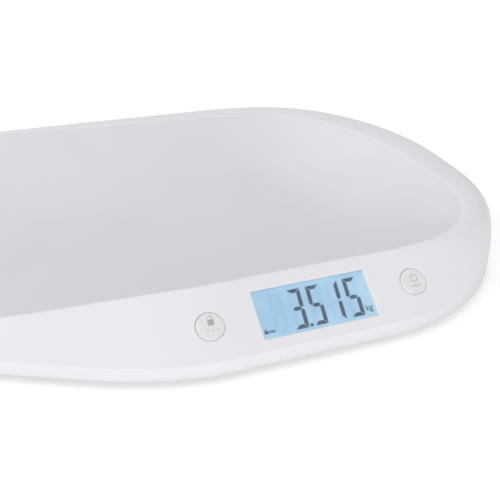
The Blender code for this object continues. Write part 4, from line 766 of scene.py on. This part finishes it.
bayShape = {
    "x": 0.089994, "y": -0.0840070, "inner": (0.052, 0.0438), "wall": 0.003, "corner": 0.0015,
    "ceiling": 0.0175, "roof": 0.0015, "roofEdge": 0.0005,
    "door": (0.055, 0.0468), "doorWall": 0.0016, "play": 0.0004, "fit": 0.0003, "recessCorner": 0.0017,
    "hookX": 0.018, "hookWidth": 0.007, "hookWall": 0.0014, "hookReach": 0.0024, "hookLow": 0.0071,
    "hookTop": 0.0082, "slotHeight": 0.0026, "latch": 0.012, "ledge": 0.0015,
}
unitLow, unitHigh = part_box("unit_button_cap")
unitSpot = (unitLow + unitHigh) / 2


def coverAdditions(sunk):  # what stands on the plate, joined to it from the height called sunk
    c, bay, low, top = coverShape, bayShape, coverShape["low"], coverShape["top"]
    lips, raised, rows, cross = (bmesh.new() for _ in range(4))
    inside, outer, proud = c["well"] - mm, c["well"] + c["wellLip"], low - c["wellProud"]
    for spot in footSpots:
        spun(lips, [(inside, sunk), (inside, proud), (outer - c["wellEdge"], proud), (outer, low),
                    (outer, sunk), (inside, sunk)], 72, spot.x, spot.y)
    wide, deep = (side + 2 * bay["wall"] for side in bay["inner"])
    roof = bay["ceiling"] + bay["roof"]
    roundedBar(raised, wide, deep, bay["corner"],
               [(sunk, 0), (roof - bay["roofEdge"], 0), (roof, -bay["roofEdge"])], bay["x"], bay["y"])
    post, postTall = c["earPost"]
    pin, head, pinTall, headTall = c["stake"]
    foot = top + postTall
    neck = foot + pinTall
    for spot in footSpots:  # posts whose heat-formed heads hold the ears of the brackets
        for x in (spot.x - c["earX"], spot.x + c["earX"]):
            spun(raised, [(0, sunk), (post, sunk), (post, foot), (pin, foot), (pin, neck), (head, neck),
                          (head * 0.8, neck + headTall * 0.7), (pin, neck + headTall), (0, neck + headTall)],
                 20, x, spot.y)
    for side in (-1, 1):
        rod(raised, c["unitPost"], sunk, c["unitPostTop"], 20, unitSpot.x + side * c["unitPosts"], unitSpot.y)
    halfLength, halfDepth, ribTop = shellShape["length"] / 2, shellShape["depth"] / 2, top + c["ribHeight"]
    for share in c["ribRows"]:
        block(rows, c["ribReach"] * shellShape["length"], c["ribWidth"], sunk, ribTop, 0, share * halfDepth)
    first, last = (row * halfDepth for row in c["ribRows"])
    for share in c["ribColumns"]:
        block(cross, c["ribWidth"], last - first, sunk, ribTop, share * halfLength, (first + last) / 2)
    return lips, raised, rows, cross


def coverCuts():  # wells, pockets, holes, the bare panel and the sound slots
    c, low, top = coverShape, coverShape["low"], coverShape["top"]
    under, over = low - 2 * mm, top + 2 * mm
    cuts = bmesh.new()
    for spot in footSpots:
        spun(cuts, [(0, under), (c["well"] + mm, under), (c["well"] + c["wellEdge"], low - c["wellProud"]),
                    (c["well"], low), (c["well"], top + mm), (0, top + mm)], 72, spot.x, spot.y)
    edge, step = c["pocketEdge"], low + c["pocketDepth"]
    for spot in screwSpots:
        spun(cuts, [(0, under), (c["pocket"] + edge, under), (c["pocket"] + edge, low),
                    (c["pocket"], low + edge), (c["pocket"], step), (c["clear"], step), (c["clear"], over),
                    (0, over)], 40, spot.x, spot.y)
    hole, dished, deep = c["unitHole"], c["unitDish"], c["unitDishDeep"]
    spun(cuts, [(0, under), (hole + dished, under), (hole + dished, low)]
         + [(hole + dished * (1 - math.sin(turn)), low + deep * (1 - math.cos(turn)))
            for turn in quarter(5)[1:]]
         + [(hole, over), (0, over)], 56, unitSpot.x, unitSpot.y)
    x, y, width, depth = c["panel"]
    roundedBar(cuts, width, depth, c["panelCorner"], [(low - mm, 0), (low + c["panelDepth"], 0)], x, y)
    x, y = c["soundSpot"]
    slotWide, slotLong = c["soundSlot"]
    for k in range(c["soundCount"]):
        roundedBar(cuts, slotWide, slotLong, slotWide * 0.49,
                   [(low - mm, c["lead"]), (low, c["lead"]), (low + c["lead"], 0), (top + mm, 0)],
                   x + (k - (c["soundCount"] - 1) / 2) * c["soundPitch"], y)
    return cuts


def bayCuts():  # the door's recess, the bay, and the slots and ledges for hooks and latch
    bay, lead, low, top = bayShape, coverShape["lead"], coverShape["low"], coverShape["top"]
    recess, room, slots, ledges = (bmesh.new() for _ in range(4))
    doorWide, doorDeep = (side + 2 * bay["play"] for side in bay["door"])
    roundedBar(recess, doorWide, doorDeep, bay["recessCorner"],
               [(low - 2 * mm, lead), (low, lead), (low + lead, 0), (low + bay["doorWall"] + bay["fit"], 0)],
               bay["x"], bay["y"])
    block(room, *bay["inner"], low - 2 * mm, bay["ceiling"], bay["x"], bay["y"])
    slotDeep = bay["wall"] + 2 * mm
    hinge = bay["y"] - bay["door"][1] / 2
    ledge = bay["ledge"] + bay["play"] + 2 * mm
    wide = bay["hookWidth"] + 2 * bay["play"]
    for side in (-1, 1):
        hookX = bay["x"] + side * bay["hookX"]
        block(slots, wide, slotDeep, top, top + bay["slotHeight"], hookX,
              bay["y"] - bay["inner"][1] / 2 - slotDeep / 2 + mm)
        block(ledges, wide, ledge, low + bay["fit"], top + 2 * mm, hookX, hinge - bay["play"] + ledge / 2)
    block(ledges, bay["latch"] + 2 * bay["play"], ledge, low + bay["fit"], top + bay["slotHeight"], bay["x"],
          hinge + bay["door"][1] + bay["play"] - ledge / 2)
    return recess, room, slots, ledges


def buildBottomCover():
    c, edge = coverShape, coverShape["edge"]
    levels = [(edge * (1 - math.sin(turn)), c["low"] + edge * (1 - math.cos(turn))) for turn in quarter(4)]
    plate = bmesh.new()
    column(plate, [[(*(spot + normal * (c["inset"] + step)), height) for spot, normal in zip(outline, inward)]
                   for step, height in levels + [(0.0, c["top"])]])
    dropStations(plate)
    cover = finishPiece(plate, "bottomCover", "base_abs", "housing")
    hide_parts("bottom_cover")
    carve(cover, [(bm, "UNION") for bm in coverAdditions((c["low"] + c["top"]) / 2)]
          + [(bm, "DIFFERENCE") for bm in (coverCuts(), *bayCuts())])


buildBottomCover()
print("bottom cover done")

doorShape = {
    "corner": 0.0015, "edge": 0.0003, "gripCorner": 0.0022, "gripEdge": 0.0003, "gripDeep": 0.0008,
    "ridge": (0.007, 0.0005, 0.00035, 0.0009), "ridgePitch": 0.0012,
    "arrow": 0.0022, "arrowGap": 0.008, "arrowCut": 0.0006,
}


def buildDoor():  # lid with two hooks, a latch, a finger recess with ribs, and a small arrow
    bay, shape, low = bayShape, doorShape, coverShape["low"]
    hinge = bay["y"] - bay["door"][1] / 2
    far = hinge + bay["door"][1]
    sheet, hooks, toes, grip, ridges, arrow = (bmesh.new() for _ in range(6))
    edge = shape["edge"]
    roundedBar(sheet, *bay["door"], shape["corner"],
               [(low, -edge), (low + edge * 0.3, -edge * 0.3), (low + edge, 0), (low + bay["doorWall"], 0)],
               bay["x"], bay["y"])
    door = finishPiece(sheet, "batteryDoor", "base_abs", "battery_door")
    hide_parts("battery_door")
    sunk = low + bay["doorWall"] / 2
    for side in (-1, 1):
        x = bay["x"] + side * bay["hookX"]
        block(hooks, bay["hookWidth"], bay["hookWall"], sunk, bay["hookTop"], x, hinge + bay["hookWall"] / 2)
        block(toes, bay["hookWidth"], bay["hookReach"] + bay["hookWall"] / 2, bay["hookLow"], bay["hookTop"],
              x, hinge + (bay["hookWall"] / 2 - bay["hookReach"]) / 2)
    block(hooks, bay["latch"], bay["hookWall"], sunk, bay["hookTop"], bay["x"], far - bay["hookWall"] / 2)
    middle, edge = far - 2 * bay["hookReach"], shape["gripEdge"]
    roundedBar(grip, bay["latch"], 2 * bay["hookReach"], shape["gripCorner"],
               [(low - 2 * mm, edge), (low, edge), (low + shape["gripDeep"], -edge)], bay["x"], middle)
    wide, thick, foot, top = shape["ridge"]
    for k in (-1, 0, 1):
        block(ridges, wide, thick, low + foot, low + top, bay["x"], middle + k * shape["ridgePitch"])
    bmesh.ops.create_cone(arrow, cap_ends=True, segments=3, radius1=shape["arrow"], radius2=shape["arrow"],
                          depth=shape["arrowCut"],
                          matrix=Matrix.Translation((bay["x"], middle - shape["arrowGap"], low)))
    carve(door, [(hooks, "UNION"), (toes, "UNION"), (grip, "DIFFERENCE"), (ridges, "UNION"),
                 (arrow, "DIFFERENCE")])


buildDoor()

# Feet: a moulded disc that presses on its load cell from below, with a ribbed rubber pad under it
footShape = {
    "radius": 0.017, "low": 0.0023, "top": 0.0064, "roll": 0.0009, "topEdge": 0.0004,
    "seat": 0.0138, "ring": 0.0158, "ringLow": 0.0013, "ringEdge": 0.0003, "post": 0.0055, "postTop": 0.0082,
    "pad": 0.0135, "padTop": 0.0020, "padRoll": 0.0005, "padEdge": 0.0002,
    "grooves": (0.0035, 0.0062, 0.0089), "groove": 0.0004, "grooveWide": 0.0012, "grooveEdge": 0.00025,
}


def buildFeet():
    f = footShape
    seat, ring, ringLow, edge = f["seat"], f["ring"], f["ringLow"], f["ringEdge"]
    diskProfile = ([(0, f["low"]), (seat, f["low"]), (seat, ringLow + edge), (seat + edge, ringLow),
                    (ring - edge, ringLow), (ring, ringLow + edge), (ring, f["low"])]
                   + roundEdge(f["radius"], f["low"], f["roll"], way=-1)
                   + [(f["radius"], f["top"] - f["topEdge"]), (f["radius"] - f["topEdge"], f["top"]),
                      (f["post"], f["top"]), (f["post"], f["postTop"]), (0, f["postTop"])])
    padProfile = [(0, 0)]
    for radius in f["grooves"]:
        padProfile += [(radius, 0), (radius + f["grooveEdge"], f["groove"]),
                       (radius + f["grooveWide"] - f["grooveEdge"], f["groove"]), (radius + f["grooveWide"], 0)]
    padProfile += roundEdge(f["pad"], 0, f["padRoll"], way=-1)
    padProfile += [(f["pad"], f["padTop"] - f["padEdge"]), (f["pad"] - f["padEdge"], f["padTop"]),
                   (0, f["padTop"])]
    for number, spot in enumerate(footSpots, start=1):
        disk, pad = bmesh.new(), bmesh.new()
        spun(disk, diskProfile, 72, spot.x, spot.y)
        foot = finishPiece(disk, f"foot{number}", "base_abs", "housing")
        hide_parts(f"foot_{number}")
        spun(pad, padProfile, 72, spot.x, spot.y)
        rubber = finishPiece(pad, f"footPad{number}", "foot_rubber", "housing")
        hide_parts(f"foot_pad_{number}")


buildFeet()

screwShape = {
    "head": 0.0026, "headTall": 0.0004, "dome": 0.00025, "domeShares": ((0, 1), (0.45, 0.9), (0.8, 0.4)),
    "shank": 0.0013, "thread": 0.00018, "pitch": 0.0011, "threadGap": 0.0006, "plainEnd": 0.0016,
    "point": 0.0013, "slot": (0.0029, 0.00055), "slotDepth": 0.0009, "turnEach": 0.7,
}


def buildScrews():  # a pan head with a cross recess, over a shank with thread ridges
    s = screwShape
    low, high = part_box("housing_screw_1")
    length, core, pitch = high.z - low.z, s["shank"] - s["thread"], s["pitch"]
    profile = [(s["head"] * out, -s["dome"] * down) for out, down in s["domeShares"]]
    profile += [(s["head"], s["headTall"] * 0.4), (s["head"], s["headTall"]), (core, s["headTall"])]
    z = s["headTall"] + s["threadGap"]
    while z + pitch < length - s["plainEnd"]:
        profile += [(core, z), (s["shank"], z + pitch * 0.45), (core, z + pitch * 0.9)]
        z += pitch
    profile += [(core, length - s["point"]), (0, length)]
    turned, along, across = bmesh.new(), bmesh.new(), bmesh.new()
    spun(turned, profile, 32)
    first = finishPiece(turned, "screw")
    block(along, *s["slot"], -mm, s["slotDepth"])
    block(across, *s["slot"][::-1], -mm, s["slotDepth"])
    carve(first, [(along, "DIFFERENCE"), (across, "DIFFERENCE")])
    for number, spot in enumerate(screwSpots, start=1):
        bm = bmesh.new()
        bm.from_mesh(first.data)
        turn = Matrix.Rotation(s["turnEach"] * number, 4, "Z")
        screw = finishPiece(bm, f"housingScrew{number}", "spring_steel", "housing",
                            Matrix.Translation((spot.x, spot.y, low.z)) @ turn)
        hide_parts(f"housing_screw_{number}")
    bpy.data.objects.remove(first, do_unlink=True)


buildScrews()

unitCapShape = {"radius": 0.0045, "roll": 0.0004, "dip": 0.00025, "dipReach": 0.82, "flange": 0.0058,
                "flangeLow": 0.0071}


def buildUnitCap():  # a small round cap, dished for a fingertip
    s, low, high = unitCapShape, unitLow.z, unitHigh.z
    dip = [(s["radius"] * s["dipReach"] * k / 6, low + s["dip"] * (1 - (k / 6) ** 2)) for k in range(7)]
    bm = bmesh.new()
    spun(bm, dip + roundEdge(s["radius"], low, s["roll"], way=-1)
         + [(s["radius"], s["flangeLow"]), (s["flange"], s["flangeLow"]), (s["flange"], high), (0, high)],
         64, unitSpot.x, unitSpot.y)
    cap = finishPiece(bm, "unitCap", "button_abs", "unit_button")
    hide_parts("unit_button_cap")


buildUnitCap()
print("door, feet, screws and unit cap done")

cellShape = {
    "radius": 0.0051, "length": 0.0433, "nub": 0.0019, "nubTall": 0.0012, "lip": 0.0007, "pitch": 0.0108,
    "paintedStrips": 0.00012, "roll": 0.0003, "nubRoll": 0.00025, "play": 0.0003, "axis": 0.0121,
    "plate": 0.0085, "plateWide": 0.0080, "plateWall": 0.0004, "plateCorner": 0.0012, "contactX": 0.0253,
    "plates": ((1, 0, 1), (1, 2, 3), (-1, 0, 0), (-1, 1, 2), (-1, 3, 3)),  # side, first and last cell
    "springWide": 0.0030, "springNarrow": 0.0018, "wire": 0.00028, "turns": 3.5, "stepsPerTurn": 24,
}


def cellTail(way):  # where the flat end of a cell lies whose nub points that way along X
    c = cellShape
    return bayShape["x"] - way * (c["length"] + c["nubTall"] + c["play"] - c["contactX"])


def buildBatteries():  # film-wrapped cells, each with a steel can that shows at its ends
    c = cellShape
    radius, length, nub, inner = c["radius"], c["length"], c["nub"], c["radius"] - c["paintedStrips"]
    lip, canRadius, nubTop = radius - c["lip"], inner - 0.1 * mm, length + c["nubTall"]
    jacketProfile = ([(lip, 0.1 * mm), (lip, 0)] + roundEdge(radius, 0, c["roll"], way=-1)[1:]
                     + roundEdge(radius, length, c["roll"])[::-1]
                     + [(lip, length), (lip, length - 0.1 * mm), (inner, length - 0.15 * mm),
                        (inner, 0.15 * mm), (lip, 0.1 * mm)])
    canProfile = ([(0, 0.02 * mm), (radius * 0.55, 0.02 * mm), (radius * 0.6, 0.25 * mm),
                   (canRadius, 0.25 * mm), (canRadius, length - 0.3 * mm), (nub + 0.5 * mm, length - 0.3 * mm),
                   (nub, length)]
                  + roundEdge(nub, nubTop, c["nubRoll"])[::-1] + [(0, nubTop)])
    rows = [(bayShape["y"] + c["pitch"] * (k - 1.5), 1 if k % 2 else -1) for k in range(4)]
    for number, (y, way) in enumerate(rows, start=1):
        spot = Matrix.Translation((cellTail(way), y, c["axis"])) @ Matrix.Rotation(way * math.pi / 2, 4, "Y")
        jacket, can = bmesh.new(), bmesh.new()
        spun(jacket, jacketProfile, 48)
        spun(can, canProfile, 48)
        sleeve = finishPiece(jacket, f"batteryJacket{number}", "battery_jacket", "housing", spot)
        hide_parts(f"battery_{number}")
        finishPiece(can, f"batteryCan{number}", "spring_steel", "housing", spot)
    return rows


def springWire(points, radius):  # a round wire through the points, with closed ends
    curve = bpy.data.curves.new("wire", "CURVE")
    curve.dimensions, curve.bevel_depth, curve.bevel_resolution, curve.use_fill_caps = "3D", radius, 3, True
    strand = curve.splines.new("POLY")
    strand.points.add(len(points) - 1)
    for bead, point in zip(strand.points, points):
        bead.co = (*point, 1.0)
    return curveMesh(curve)


def buildContacts(rows):  # sprung plates at the ends of the bay, with a coil for each cell's flat end
    c = cellShape
    upright = Matrix(((0, 0, 1, 0), (0, 1, 0, 0), (-1, 0, 0, 0), (0, 0, 0, 1)))
    steps = int(c["turns"] * c["stepsPerTurn"])
    for number, (side, first, last) in enumerate(c["plates"], start=1):
        bm = bmesh.new()
        middle = (rows[first][0] + rows[last][0]) / 2
        span = rows[last][0] - rows[first][0] + c["plateWide"]
        roundedBar(bm, c["plate"], span, c["plateCorner"], [(0, 0), (c["plateWall"], 0)])
        start = bayShape["x"] + side * (c["contactX"] if side > 0 else c["contactX"] + c["plateWall"])
        bmesh.ops.transform(bm, matrix=Matrix.Translation((start, middle, c["axis"])) @ upright,
                            verts=bm.verts[:])
        dropStations(bm)
        for y, way in rows[first:last + 1]:
            if way == side:
                continue
            begin = bayShape["x"] + side * (c["contactX"] - c["wire"])
            end = cellTail(way) + side * (0.1 * mm + c["wire"])
            points = []
            for k in range(steps + 1):
                share = k / steps
                radius = c["springWide"] + (c["springNarrow"] - c["springWide"]) * share
                angle = share * c["turns"] * math.tau
                points.append((begin + (end - begin) * share, y + radius * math.cos(angle),
                               c["axis"] + radius * math.sin(angle)))
            bm.from_mesh(springWire(points, c["wire"]))
        bmesh.ops.remove_doubles(bm, verts=bm.verts[:], dist=weld)
        contact = finishPiece(bm, f"batteryContact{number}", "spring_steel", "housing")
        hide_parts(f"battery_contact_{number}")


buildContacts(buildBatteries())
print("batteries and contacts done")

stageValues = {"size": 40.0, "floor": "#F2F2F2", "lift": 0.37, "world": 0.60, "horizon": 0.90}
lampValues = {
    "frontSoftbox": {"place": (-1.3, -3.2, 1.1), "target": (0, 0, 0), "size": 2.2, "power": 52.0},
    "backSoftbox": {"place": (-2.6, 2.4, 2.2), "target": (0, 0, 0), "size": 2.4, "power": 50.0},
}
cameraValues = {"place": (-0.0542, -0.4835, 0.2826), "azimuth": 20.33, "elevation": 29.95, "lens": 57.6}


def seenDirectly(tree):  # 1 for camera, glossy and transmission rays, else 0
    path = addNode(tree, "LightPath")
    shiny = addNode(tree, "Math", {}, {0: path.outputs["Is Camera Ray"], 1: path.outputs["Is Glossy Ray"]},
                    {"operation": "MAXIMUM"})
    return addNode(tree, "Math", {}, {0: shiny.outputs[0], 1: path.outputs["Is Transmission Ray"]},
                   {"operation": "MAXIMUM"}).outputs[0]


def buildStage():  # a plain floor that keeps the shadow and goes white to the camera, in a white room
    floor = bmesh.new()
    bmesh.ops.create_grid(floor, x_segments=4, y_segments=4, size=stageValues["size"] / 2)
    material, tree, shader, _ = newMaterial("studio_floor", stageValues["floor"], 0.9,
                                            {"Specular IOR Level": 0.0})
    lift = addNode(tree, "Emission", {"Color": "#FFFFFF", "Strength": stageValues["lift"]})
    both = addNode(tree, "AddShader", {}, {0: shader.outputs[0], 1: lift.outputs[0]})
    mixed = addNode(tree, "MixShader", {}, {0: seenDirectly(tree), 1: shader.outputs[0], 2: both.outputs[0]})
    tree.links.new(mixed.outputs[0], tree.nodes["Material Output"].inputs["Surface"])
    mesh = bpy.data.meshes.new("floor")
    floor.to_mesh(mesh)
    floor.free()
    mesh.materials.append(material)
    newObject("floor", mesh)

    world = bpy.data.worlds.new("studio")
    world.use_nodes = True
    bpy.context.scene.world = world
    tree = world.node_tree
    tree.nodes.clear()
    fill = addNode(tree, "Background", {"Color": "#FFFFFF", "Strength": stageValues["world"]})
    white = addNode(tree, "Background", {"Color": "#FFFFFF", "Strength": stageValues["horizon"]})
    mixed = addNode(tree, "MixShader", {}, {0: seenDirectly(tree), 1: fill.outputs[0], 2: white.outputs[0]})
    addNode(tree, "OutputWorld", {}, {"Surface": mixed.outputs[0]})


def aim(item, place, way):  # sets an object down looking that way
    item.location = place
    item.rotation_euler = way.to_track_quat("-Z", "Y").to_euler()


def buildLamps():
    for name, values in lampValues.items():
        light = bpy.data.lights.new(name, "AREA")
        light.shape, light.size, light.energy = "DISK", values["size"], values["power"]
        aim(newObject(name, light), values["place"], Vector(values["target"]) - Vector(values["place"]))


def buildCamera():
    data = bpy.data.cameras.new("camera")
    data.lens, data.sensor_width, data.clip_start = cameraValues["lens"], 36.0, 0.01
    turn, tilt = math.radians(cameraValues["azimuth"]), math.radians(cameraValues["elevation"])
    look = Vector((math.sin(turn) * math.cos(tilt), math.cos(turn) * math.cos(tilt), -math.sin(tilt)))
    camera = newObject("camera", data)
    aim(camera, cameraValues["place"], look)
    bpy.context.scene.camera = camera


buildStage()
buildLamps()
buildCamera()
bpy.context.scene.view_settings.view_transform = "Standard"
print("stage, lamps and camera done")
